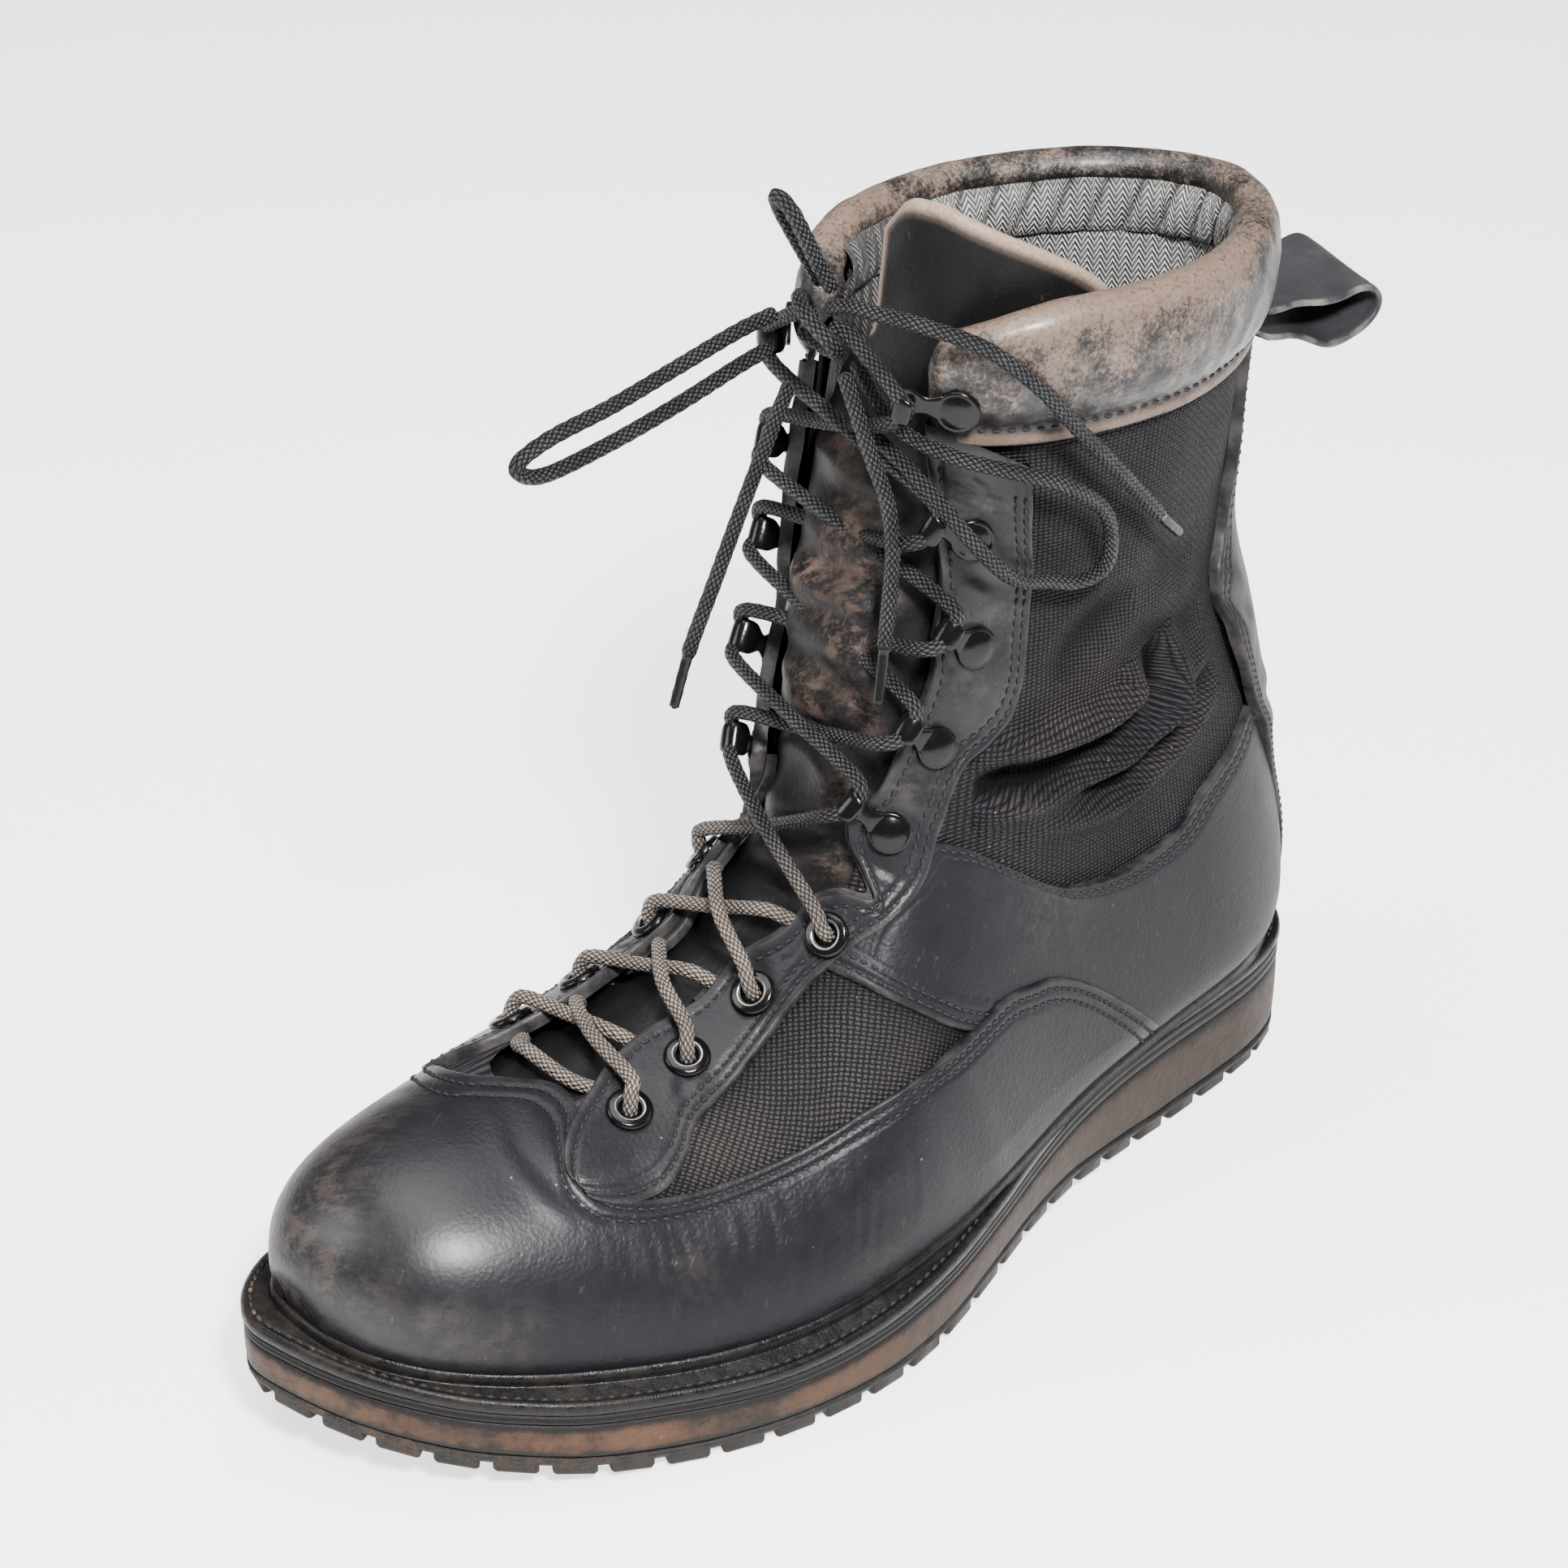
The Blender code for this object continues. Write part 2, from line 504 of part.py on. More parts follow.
def build_sole():
    """Midsole, slip sole, welt with its raised lip, and insole."""
    outline = sole_loop(1)
    x = outline[:, 0]
    edge = feather_loop(x)
    low = feather(x)
    floor = tread(x) + LUG + SLAB + GAP
    slip = low - straight(SLIP_FOOT, x)
    plate("midsole", [with_height(widen(outline, -0.7), floor), with_height(outline, floor + 0.8),
                      with_height(widen(outline, 0.2), 0.5 * (floor + slip)),
                      with_height(outline, slip - GAP - 0.6),
                      with_height(widen(outline, -0.6), slip - GAP)], "midsole")
    welt_foot = low - WELT_FOOT
    plate("slip_sole", [with_height(widen(outline, -0.5), slip), with_height(widen(outline, 0.1), slip + 0.5),
                        with_height(widen(outline, 0.1), welt_foot - GAP - 0.5),
                        with_height(widen(outline, -0.4), welt_foot - GAP)], "slip_sole")
    ex = edge[:, 0]
    lip = feather(ex)
    plate("welt", [with_height(widen(outline, -0.4), welt_foot), with_height(widen(outline, 0.3), welt_foot + 0.6),
                   with_height(widen(outline, 0.3), low - WELT_LEDGE - 0.5),
                   with_height(widen(outline, -0.3), low - WELT_LEDGE),
                   with_height(widen(edge, RAND_LIP + 0.6), lip - WELT_LEDGE + 0.3),
                   with_height(widen(edge, RAND_LIP), lip - 1.0),
                   with_height(widen(edge, RAND_LIP - 0.7), lip - GAP)], "welt")
    inside = widen(edge, -INSOLE_INSET)
    bed = feather(inside[:, 0])
    plate("insole", [with_height(inside, bed), with_height(widen(inside, 0.2), bed + 0.6),
                     with_height(widen(inside, 0.2), bed + INSOLE - 0.6),
                     with_height(widen(inside, -0.5), bed + INSOLE)], "insole")


def build_upper():
    """Hollow upper: vamp, quarters and shaft in one shell, open at throat, collar and sole."""
    heel = heel_section()
    s = upper_rows()
    share = columns()
    verts, faces, index = [], [], {}
    grids = {}
    for side in (1, -1):
        gap = np.where(s < THROAT_FRONT, 0.0, straight(THROAT, s, 1 if side > 0 else 2))
        reach = reach_of(s, side)
        distance = gap[:, None] + (reach - gap)[:, None] * share
        body = surface(s[:, None] + 0 * share, distance, side)
        top = []
        for part in share:
            level, d = level_section(TOP_EDGE, part, side)
            top.append(surface(level, d, side))
        grids[side] = np.concatenate([body, np.array(top)[None]], 0)
    rows = len(s) + 1
    for side in (1, -1):
        for i in range(rows):
            for j in range(COLUMNS):
                at_ridge = j == 0 and (i < len(s) and s[i] <= THROAT_FRONT)
                at_seam = j == COLUMNS - 1 and (i == rows - 1 or s[i] >= heel)
                shared = i == 0 or at_ridge or at_seam
                key = (0 if shared else side, i, j)
                if key not in index:
                    index[key] = len(verts)
                    point = grids[side][i, j]
                    if shared:
                        point = 0.5 * (grids[1][i, j] + grids[-1][i, j])
                    verts.append(point)
                index[(side, i, j)] = index[key]
        for i in range(rows - 1):
            for j in range(COLUMNS - 1):
                quad = [index[(side, i, j)], index[(side, i, j + 1)],
                        index[(side, i + 1, j + 1)], index[(side, i + 1, j)]]
                faces.append(tuple(quad if side > 0 else quad[::-1]))
    verts = np.array(verts)
    normals = vertex_normals(verts, faces)
    if (normals[:, 1] * (verts[:, 1])).sum() < 0:
        faces = [face[::-1] for face in faces]
        normals = -normals
    solid, closed = thicken(verts, faces, WALL, outward=False)
    inner = solid[len(verts):]
    bottom = np.abs(verts[:, 2] - feather(verts[:, 0])) < 0.4
    inner[bottom, 2] = np.maximum(inner[bottom, 2], feather(inner[bottom, 0]))
    make("upper", solid, closed, "upper")


def build_collar():
    """Padded roll wrapped over the top edge, open at the throat."""
    share = columns()
    rings = []
    path = [(1, part) for part in share] + [(-1, part) for part in share[-2::-1]]
    for side, part in path:
        ring = []
        for height, out in COLLAR:
            level, distance = level_section(height, part, side)
            ring.append(stand(level, distance, side, out))
        rings.append(ring)
    middle = len(share) - 1
    for k, (height, out) in enumerate(COLLAR):
        rings[middle][k][1] = 0.5 * (rings[middle - 1][k][1] + rings[middle + 1][k][1])
    verts = np.array(rings).reshape(-1, 3)
    count = len(COLLAR)
    faces = [(i * count + k, i * count + (k + 1) % count,
              (i + 1) * count + (k + 1) % count, (i + 1) * count + k)
             for i in range(len(rings) - 1) for k in range(count)]
    faces.append(tuple(range(count)))
    faces.append(tuple((len(rings) - 1) * count + k for k in range(count)))
    make("collar", verts, faces, "collar")


def build_tongue():
    """Tongue sheet lying inside the eyestays and standing above the collar."""
    rows = np.concatenate([[3.95, 4.3, 4.8], np.linspace(5.4, 18.4, 17), [19.1, 19.5, 19.8]])
    across = np.linspace(-1, 1, 11)
    points = np.empty((len(rows), len(across), 3))
    for j, u in enumerate(across):
        top = straight(TONGUE_TOP, u)
        s = np.where(rows < 16.5, rows, 16.5 + (rows - 16.5) * (top - 16.5) / 3.3)
        shifted = u * straight(TONGUE_ROWS, s, 1) + straight(TONGUE_ROWS, s, 3)
        for i, (level, distance) in enumerate(zip(s, shifted)):
            side = 1 if distance >= 0 else -1
            points[i, j] = stand(level, abs(distance), side, -straight(TONGUE_ROWS, level, 2))
    still = rows < 15.0
    points[still, 5, 1] = 0.5 * (points[still, 4, 1] + points[still, 6, 1])
    verts = points.reshape(-1, 3)
    faces = grid_faces(len(rows), len(across))
    normals = vertex_normals(verts, faces)
    if normals[:, 0].sum() < 0:
        faces = [face[::-1] for face in faces]
    solid, closed = thicken(verts, faces, TONGUE, outward=False)
    make("tongue", solid, closed, "tongue")


def build_eyestay(name, side):
    """Leather strip along one side of the throat, from the vamp up to the collar."""
    s = upper_rows()
    s = np.concatenate([[4.45], s[(s > 4.6) & (s < 16.8) & (abs(s - heel_section()) > 0.1)]])
    across = np.linspace(0, 1, 6)
    column = 1 if side > 0 else 2
    shift = 0.0 if side > 0 else -3.5
    rows = []
    for level in s:
        first = straight(THROAT, level, column) + 0.5
        last = straight(STAY_REAR, level) + shift
        rows.append([stand(level, first + (last - first) * u, side, STAY_GAP) for u in across])
    top = []
    for u in across:
        part = 0.005 + u * 0.17
        level, distance = level_section(COLLAR_LOW - 0.9, part, side)
        top.append(stand(level, distance, side, STAY_GAP))
    rows.append(top)
    verts = np.array(rows).reshape(-1, 3)
    faces = grid_faces(len(rows), len(across), flip=side > 0)
    normals = vertex_normals(verts, faces)
    if (normals[:, 1] * side).sum() < 0:
        faces = [face[::-1] for face in faces]
    solid, closed = thicken(verts, faces, STAY)
    make(name, solid, closed, "eyestay")


def build_backstay():
    """Leather strip over the back seam, widening over the ankle."""
    s = upper_rows()
    s = np.concatenate([[12.25], s[(s > 12.5) & (s < 17.9)]])
    across = np.linspace(-1, 1, 13)
    rows = []
    for level in list(s) + [None]:
        row = []
        for u in across:
            side = 1 if u >= 0 else -1
            if level is None:
                part = 1 - abs(u) * 0.14
                here, distance = level_section(COLLAR_LOW - 0.9, part, side)
            else:
                here = level
                distance = reach_of(level, side) - abs(u) * straight(BACKSTAY_HALF, level)
            row.append(stand(here, min(distance, reach_of(here, side) - 0.6), side, BACKSTAY_GAP))
        row[6] = 0.5 * (row[5] + row[7])
        seam = spline(SECTIONS, here)
        row[6][0] = seam[2] - 1.6 * BACKSTAY_GAP
        row[6][2] = seam[3]
        rows.append(row)
    verts = np.array(rows).reshape(-1, 3)
    faces = grid_faces(len(rows), len(across))
    normals = vertex_normals(verts, faces)
    if normals[:, 0].sum() > 0:
        faces = [face[::-1] for face in faces]
    solid, closed = thicken(verts, faces, BACKSTAY)
    make("backstay", solid, closed, "backstay")


def build_pull_loop():
    """Leather webbing folded into a loop behind the collar."""
    path = spline(LOOP_PATH, np.linspace(0, len(LOOP_PATH) - 1, 25))
    tangent = np.gradient(path, axis=0)
    tangent /= np.linalg.norm(tangent, axis=1, keepdims=True)
    out = np.stack([-tangent[:, 1], tangent[:, 0]], 1) * LOOP_THICK / 2
    verts = []
    for p, n in zip(path, out):
        twist = LOOP_TWIST * np.clip((-30.0 - p[0]) / 26.0, 0, 1)
        for y, sign in ((-1, 1), (1, 1), (1, -1), (-1, -1)):
            q = p + sign * n
            verts.append((q[0], y * LOOP_WIDTH / 2, q[1] - y * twist))
    faces = [(4 * i + k, 4 * i + (k + 1) % 4, 4 * i + 4 + (k + 1) % 4, 4 * i + 4 + k)
             for i in range(len(path) - 1) for k in range(4)]
    last = 4 * (len(path) - 1)
    faces += [(0, 1, 2, 3), (last, last + 1, last + 2, last + 3)]
    make("pull_loop", verts, faces, "pull_loop")


def frame_at(s, distance, side, height):
    """Place on the boot: point, direction to the throat, direction along the lacing, outward."""
    point = stand(s, distance, side, height)
    out = normal(s, distance, side)
    forward = surface(s, distance - 2.0, side) - surface(s, distance + 2.0, side)
    forward -= out * np.dot(forward, out)
    forward /= np.linalg.norm(forward)
    return point, forward, np.cross(out, forward), out


def clear_rise(s, distance, side, radius, base):
    """Height at which a flat disc clears the surface raised to base."""
    point, forward, along, out = frame_at(s, distance, side, 0.0)
    rise = 0.0
    for ds in np.linspace(-0.5, 0.5, 17):
        for dd in np.linspace(-7, 7, 9):
            near = stand(s + ds, distance + dd, side, base) - point
            flat = near - out * np.dot(near, out)
            if np.linalg.norm(flat) < radius + 1.0:
                rise = max(rise, float(np.dot(near, out)))
    return rise + 1.5 * GAP


def build_eyelet(name, s, distance, side):
    """Eyelet flange with its hole."""
    rise = clear_rise(s, distance, side, EYELET_RADIUS, STAY_GAP + STAY)
    point, forward, along, out = frame_at(s, distance, side, rise)
    turn = np.linspace(0, 2 * np.pi, 10, endpoint=False)
    profile = ((EYELET_RADIUS, 0.0), (EYELET_RADIUS - 1.0, EYELET_HEIGHT),
               (EYELET_HOLE + 0.6, EYELET_HEIGHT), (EYELET_HOLE, 0.0))
    verts = []
    for angle in turn:
        ray = np.cos(angle) * forward + np.sin(angle) * along
        verts += [point + ray * r + out * h for r, h in profile]
    count = len(profile)
    total = len(turn) * count
    faces = [(i * count + k, i * count + (k + 1) % count,
              ((i + 1) * count + (k + 1) % count) % total, ((i + 1) * count + k) % total)
             for i in range(len(turn)) for k in range(count)]
    make(name, verts, faces, "eyelet")


def build_hook(name, s, distance, side, base):
    """Speed hook: round plate, neck and a lip curled back over the lace."""
    rise = clear_rise(s, distance, side, EYELET_RADIUS, base)
    point, forward, along, out = frame_at(s, distance, side, rise)
    centre = HOOK[:, :2]
    tangent = np.gradient(centre, axis=0)
    tangent /= np.linalg.norm(tangent, axis=1, keepdims=True)
    rise = np.stack([-tangent[:, 1], tangent[:, 0]], 1) * HOOK_PLATE / 2
    verts = []
    for (f, h, half), (rf, rh) in zip(HOOK, rise):
        for sign, across in ((1, -1), (1, 1), (-1, 1), (-1, -1)):
            verts.append(point + forward * (f + sign * rf) + out * (h + sign * rh) + along * across * half)
    faces = [(4 * i + k, 4 * i + (k + 1) % 4, 4 * i + 4 + (k + 1) % 4, 4 * i + 4 + k)
             for i in range(len(HOOK) - 1) for k in range(4)]
    last = 4 * (len(HOOK) - 1)
    faces += [(0, 1, 2, 3), (last, last + 1, last + 2, last + 3)]
    make(name, verts, faces, "hook")


def tube(points, radius, sides=6):
    """Closed tube mesh along a path."""
    points = np.asarray(points, float)
    tangent = np.gradient(points, axis=0)
    tangent /= np.linalg.norm(tangent, axis=1, keepdims=True)
    lift = np.array([0.31, 0.17, 0.93])
    verts = []
    for p, t in zip(points, tangent):
        a = lift - t * np.dot(lift, t)
        a /= np.linalg.norm(a)
        b = np.cross(t, a)
        for angle in np.linspace(0, 2 * np.pi, sides, endpoint=False):
            verts.append(p + radius * (np.cos(angle) * a + np.sin(angle) * b))
    faces = [(i * sides + k, i * sides + (k + 1) % sides, (i + 1) * sides + (k + 1) % sides,
              (i + 1) * sides + k) for i in range(len(points) - 1) for k in range(sides)]
    last = (len(points) - 1) * sides
    faces += [tuple(range(sides)), tuple(last + k for k in range(sides))]
    return verts, faces


def build_lacing():
    """Crossed lacing bars over the tongue, joined into one net."""
    places = [(s, lateral - 9.5, medial - 9.5, 5.2) for s, lateral, medial in EYELETS]
    places += [(s, lateral - 16.5, medial - 16.5, 5.2) for s, lateral, medial in HOOKS]
    ends = []
    for s, lateral, medial, height in places:
        ends.append((stand(s, lateral, 1, height), stand(s, medial, -1, height), s))
    bars = [(ends[0][0], ends[0][1], ends[0][2], ends[0][2])]
    for (left, right, s), (left_up, right_up, s_up) in zip(ends[:-1], ends[1:]):
        bars.append((left, right_up, s, s_up))
        bars.append((right, left_up, s, s_up))
    base = None
    for number, (start, end, s, s_up) in enumerate(bars):
        middle = stand(0.5 * (s + s_up), 0.0, 1, 5.4)
        middle[1] = 0.5 * (start[1] + end[1])
        push = 0.9 * (end - start) / np.linalg.norm(end - start)
        path = spline(np.array([start - push, middle, end + push]), np.linspace(0, 2, 5))
        verts, faces = tube(path, LACE / 2)
        if base is None:
            base = make("lace_crossings", verts, faces, "lace")
            continue
        bar = make("bar_%02d" % number, verts, faces, "lace")
        bar.hide_render = True
        bar.display_type = "WIRE"
        join = base.modifiers.new("join_%02d" % number, "BOOLEAN")
        join.operation = "UNION"
        join.object = bar


def build_cord(name, rows):
    """Free cord as a round curve through the rows."""
    length = np.linalg.norm(np.diff(rows, axis=0), axis=1).sum()
    count = max(6, int(round(length / (2.2 * LACE))) + 1)
    fine = spline(rows, np.linspace(0, len(rows) - 1, 400))
    run = np.concatenate([[0], np.cumsum(np.linalg.norm(np.diff(fine, axis=0), axis=1))])
    even = np.linspace(0, run[-1], count)
    points = np.stack([np.interp(even, run, fine[:, k]) for k in range(3)], 1)
    curve = bpy.data.curves.new(name, "CURVE")
    curve.dimensions = "3D"
    curve.bevel_depth = LACE / 2 * MM
    curve.bevel_resolution = 2
    curve.use_fill_caps = True
    line = curve.splines.new("POLY")
    line.points.add(len(points) - 1)
    for k, p in enumerate(points):
        line.points[k].co = (p[0] * MM, p[1] * MM, p[2] * MM, 1.0)
    obj = bpy.data.objects.new(name, curve)
    bpy.context.scene.collection.objects.link(obj)
    paint(obj, name, "lace")


def build_loose_lace():
    """Knot, bow loops and hanging ends."""
    for name, rows in LOOSE_LACE.items():
        build_cord(name, np.array(rows, float))
    for name, rows in RESTING_LACE.items():
        build_cord(name, np.array([stand(s, abs(d), 1 if d >= 0 else -1, h) for s, d, h in rows]))


def main():
    for obj in list(bpy.data.objects):
        bpy.data.objects.remove(obj, do_unlink=True)
    build_outsole()
    build_sole()
    build_upper()
    build_collar()
    build_tongue()
    build_backstay()
    build_pull_loop()
    for side, word in ((1, "lateral"), (-1, "medial")):
        build_eyestay("eyestay_" + word, side)
        column = 1 if side > 0 else 2
        for number, row in enumerate(EYELETS, 1):
            build_eyelet("eyelet_%s_%d" % (word, number), row[0], row[column], side)
        for number, row in enumerate(HOOKS, 1):
            build_hook("hook_%s_%d" % (word, number), row[0], row[column], side, STAY_GAP + STAY)
        build_hook("hook_%s_5" % word, TOP_HOOK[0], TOP_HOOK[column], side, 5.9)
    build_lacing()
    build_loose_lace()


main()
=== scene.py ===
"""Looks of a left lace-up work boot: black leather and woven nylon over a stitched welt,
a brown wedge midsole and a black lugged outsole. Tables are in millimetres."""

import bmesh
import bpy
import numpy as np
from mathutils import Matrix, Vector


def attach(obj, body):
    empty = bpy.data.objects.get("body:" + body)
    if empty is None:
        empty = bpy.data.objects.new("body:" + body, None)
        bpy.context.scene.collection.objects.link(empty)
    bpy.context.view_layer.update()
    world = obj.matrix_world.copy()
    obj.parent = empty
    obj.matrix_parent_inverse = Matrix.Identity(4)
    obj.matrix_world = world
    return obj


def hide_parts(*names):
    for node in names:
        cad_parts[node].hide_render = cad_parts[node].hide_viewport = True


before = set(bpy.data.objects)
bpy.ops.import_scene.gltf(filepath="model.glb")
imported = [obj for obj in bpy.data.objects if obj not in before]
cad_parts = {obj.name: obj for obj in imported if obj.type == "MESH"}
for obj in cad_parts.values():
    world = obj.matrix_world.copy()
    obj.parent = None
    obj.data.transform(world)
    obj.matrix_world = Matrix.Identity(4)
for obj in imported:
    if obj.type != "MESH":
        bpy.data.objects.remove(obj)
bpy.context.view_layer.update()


# ------------------------ Floor, lights and camera
# A pale floor, one broad soft light overhead and three smaller ones, and a long lens looking
# down on the outer side of the toe.
MM = 0.001
CAMERA_SPOT = (0.5545, 0.5509, 0.5540)
CAMERA_AIM = (0.118, -0.002, 0.124)
FOCAL_SHARE = 2.2        # focal length over the width of the sensor

lens = bpy.data.cameras.new("camera")
lens.sensor_width = 36.0
lens.lens = 36.0 * FOCAL_SHARE
lens.clip_end = 20.0
camera = bpy.data.objects.new("camera", lens)
camera.location = CAMERA_SPOT
camera.rotation_euler = (Vector(CAMERA_AIM) - Vector(CAMERA_SPOT)).to_track_quat("-Z", "Y").to_euler()
bpy.context.scene.collection.objects.link(camera)
bpy.context.scene.camera = camera

floor_mesh = bpy.data.meshes.new("floor")
floor_mesh.from_pydata([(-3, -3, 0), (3, -3, 0), (3, 3, 0), (-3, 3, 0)], [], [(0, 1, 2, 3)])
floor = bpy.data.objects.new("floor", floor_mesh)
bpy.context.scene.collection.objects.link(floor)
floor_paint = bpy.data.materials.new("floor_paint")
floor_paint.use_nodes = True
nodes, links = floor_paint.node_tree.nodes, floor_paint.node_tree.links
matt = nodes["Principled BSDF"]
matt.inputs["Base Color"].default_value = (0.9, 0.9, 0.9, 1)
matt.inputs["Roughness"].default_value = 0.9
glow, blend, seen, part = (nodes.new("ShaderNode" + kind) for kind in (
    "Emission", "MixShader", "LightPath", "Math"))
glow.inputs["Strength"].default_value = 6.0
part.operation = "MULTIPLY"
part.inputs[1].default_value = 0.3
for start, end in ((seen.outputs["Is Camera Ray"], part.inputs[0]), (part.outputs[0], blend.inputs[0]),
                   (matt.outputs[0], blend.inputs[1]), (glow.outputs[0], blend.inputs[2]),
                   (blend.outputs[0], nodes["Material Output"].inputs["Surface"])):
    links.new(start, end)
floor_mesh.materials.append(floor_paint)

sky = bpy.data.worlds.new("sky")
sky.use_nodes = True
haze = sky.node_tree.nodes["Background"]
haze.inputs["Color"].default_value = (1.0, 1.0, 1.0, 1)
haze.inputs["Strength"].default_value = 0.38
bpy.context.scene.world = sky

# Each lamp: place, size, watts.
LAMPS = {
    "overhead": ((0.25, -0.10, 1.45), 1.0, 31.0),
    "key": ((0.42, 0.80, 1.10), 0.21, 72.0),
    "toe_side": ((1.25, -0.55, 0.75), 0.6, 12.0),
    "heel_side": ((-1.0, 0.9, 0.8), 0.8, 6.0),
}
for name, (spot, size, watts) in LAMPS.items():
    lamp = bpy.data.lights.new(name, "AREA")
    lamp.shape = "SQUARE"
    lamp.size = size
    lamp.energy = watts
    holder = bpy.data.objects.new(name, lamp)
    holder.location = spot
    holder.rotation_euler = (Vector((0.1, 0, 0.1)) - Vector(spot)).to_track_quat("-Z", "Y").to_euler()
    bpy.context.scene.collection.objects.link(holder)


# ------------------------ Laces
# Round braided laces of 4.2 mm, black but faded brown at the bottom. They come up through
# four pairs of eyelets, run under five pairs of hooks, and end in a bow with two tags.

# The boot is laid out on its last, a fan of sections: upright across the toe, tilting back
# over the instep and lying flat round the shaft. Columns: ridge x and z, base x and z, centre
# line, outer and inner half width, height of the widest point, squareness above and below.
SECTIONS = np.array([
    (262.5, 42.0, 261.5, 31, -4.5, 0.0, 0.0, 0.40, 2.00, 2.20),
    (261.8, 52.5, 259.0, 29, -2.6, 13.7, 10.5, 0.44, 2.10, 2.10),
    (253.4, 63.0, 252.0, 27, -0.8, 28.0, 21.7, 0.44, 2.06, 2.20),
    (238.3, 71.0, 238.0, 25, 0.0, 38.5, 30.0, 0.36, 2.00, 3.20),
    (211.0, 75.0, 214.0, 23, -0.8, 50.5, 39.0, 0.24, 1.90, 4.60),
    (178.0, 77.8, 184.0, 22, -2.5, 62.5, 46.0, 0.14, 1.75, 5.60),
    (147.0, 85.8, 152.0, 22, -3.0, 67.5, 47.0, 0.11, 1.85, 6.00),
    (132.0, 99.5, 118.0, 25, -0.5, 62.5, 39.5, 0.12, 2.30, 6.20),
    (123.4, 111.5, 86.0, 28, 1.8, 52.0, 34.5, 0.14, 2.55, 6.20),
    (117.5, 123.5, 54.0, 31, 2.5, 43.7, 33.0, 0.18, 2.75, 6.00),
    (115.2, 137.5, 20.0, 33, 1.6, 39.5, 34.3, 0.24, 2.95, 5.60),
    (114.0, 153.0, -14.5, 34, 0.5, 37.0, 35.0, 0.32, 3.00, 4.80),
    (111.0, 167.5, -36.5, 38, -0.8, 34.8, 34.0, 0.45, 3.00, 3.20),
    (107.5, 178.5, -43.0, 58, -2.0, 33.9, 33.8, 0.54, 2.95, 2.40),
    (103.7, 188.0, -41.8, 80, -3.0, 34.3, 34.8, 0.57, 2.87, 2.00),
    (100.5, 197.0, -38.3, 105, -3.4, 35.8, 37.0, 0.56, 2.74, 1.65),
    (98.5, 206.0, -33.0, 130, -3.2, 37.2, 38.7, 0.55, 2.65, 1.35),
    (97.0, 215.6, -24.5, 156, -2.3, 38.9, 40.1, 0.53, 2.55, 1.35),
    (96.3, 228.0, -19.8, 192, -1.5, 40.2, 41.2, 0.52, 2.46, 1.60),
    (97.0, 246.0, -16.5, 246, 0.0, 42.2, 42.2, 0.50, 2.40, 1.75),
    (98.5, 268.0, -15.0, 268, 0.0, 43.0, 43.0, 0.50, 2.40, 1.75),
])
# Height of the upper's lower edge along the foot.
FEATHER = np.array([
    (-50, 38.2), (-6, 37.3), (30, 36.8), (64, 35), (99, 31.3), (135, 27.4), (170, 24.8), (200, 26),
    (235, 31), (262, 37.8), (275, 41.5)])
SIDES = ((1, "lateral"), (-1, "medial"))     # also a table's column: second or last
# Throat edge: section, distance from the ridge on the outer side and on the inner side.
THROAT = np.array([
    (4.25, 0, 0), (4.35, 7, 6.5), (4.5, 11, 10), (4.8, 13.5, 12), (5.5, 12.5, 11), (6.3, 12.5, 10.5),
    (7, 17, 13.5), (8, 20, 17), (9, 20, 18), (10, 24, 22), (11.5, 31.5, 29), (12.5, 33.5, 31.5),
    (14, 31.5, 30), (15.5, 26.5, 26), (17, 21.5, 21.5), (19, 19.5, 19.5), (20, 19.5, 19.5)])
S_STEP = 0.05            # spacing of the looked-up sections
S_ROWS = np.arange(0, len(SECTIONS) - 1 + S_STEP / 2, S_STEP)
T_COUNT = 321            # points along a looked-up section


def cubic(a, b, c, d, u):
    """Point a share u of the way from b to c on the cubic through them, whose slope at each
    is half the difference of its neighbours."""
    return 0.5 * (2 * b + (c - a) * u + (2 * a - 5 * b + 4 * c - d) * u ** 2
                  + (3 * b - a - 3 * c + d) * u ** 3)


def curve(rows, s):
    """Catmull-Rom curve through the rows, one row per unit of s."""
    s = np.clip(np.asarray(s, float), 0, len(rows) - 1)
    low = np.minimum(s.astype(int), len(rows) - 2)
    u = (s - low)[..., None]
    pad = np.vstack([2 * rows[0] - rows[1], rows, 2 * rows[-1] - rows[-2]])
    return cubic(*(pad[low + k] for k in range(4)), u)


def smooth(table, x, column=1):
    """Cubic Hermite curve through a table's column against its first column."""
    xs, ys = table[:, 0], table[:, column]
    slope = np.gradient(ys, xs)
    x = np.clip(np.asarray(x, float), xs[0], xs[-1])
    i = np.clip(np.searchsorted(xs, x) - 1, 0, len(xs) - 2)
    h = xs[i + 1] - xs[i]
    u = (x - xs[i]) / h
    return ((2 * u ** 3 - 3 * u ** 2 + 1) * ys[i] + (u ** 3 - 2 * u ** 2 + u) * h * slope[i]
            + (3 * u ** 2 - 2 * u ** 3) * ys[i + 1] + (u ** 3 - u ** 2) * h * slope[i + 1])


def by_row(table, x, column=1):
    """Straight-line interpolation in a table's column against its first column."""
    return np.interp(x, table[:, 0], table[:, column])


def along(at, run, rows):
    """Rows of numbers read off at running lengths, on straight lines between neighbours."""
    return np.stack([np.interp(at, run, rows[:, k]) for k in range(rows.shape[1])], -1)


def ramp(x):
    """x, held between 0 and 1."""
    return np.clip(x, 0, 1)


def bell(x, width):
    """Bell curve: 1 at 0, and e to the minus first at a width."""
    return np.exp(-(x / width) ** 2)


def normed(v):
    """Each vector divided by its length."""
    return v / np.maximum(np.linalg.norm(v, axis=-1, keepdims=True), 1e-9)


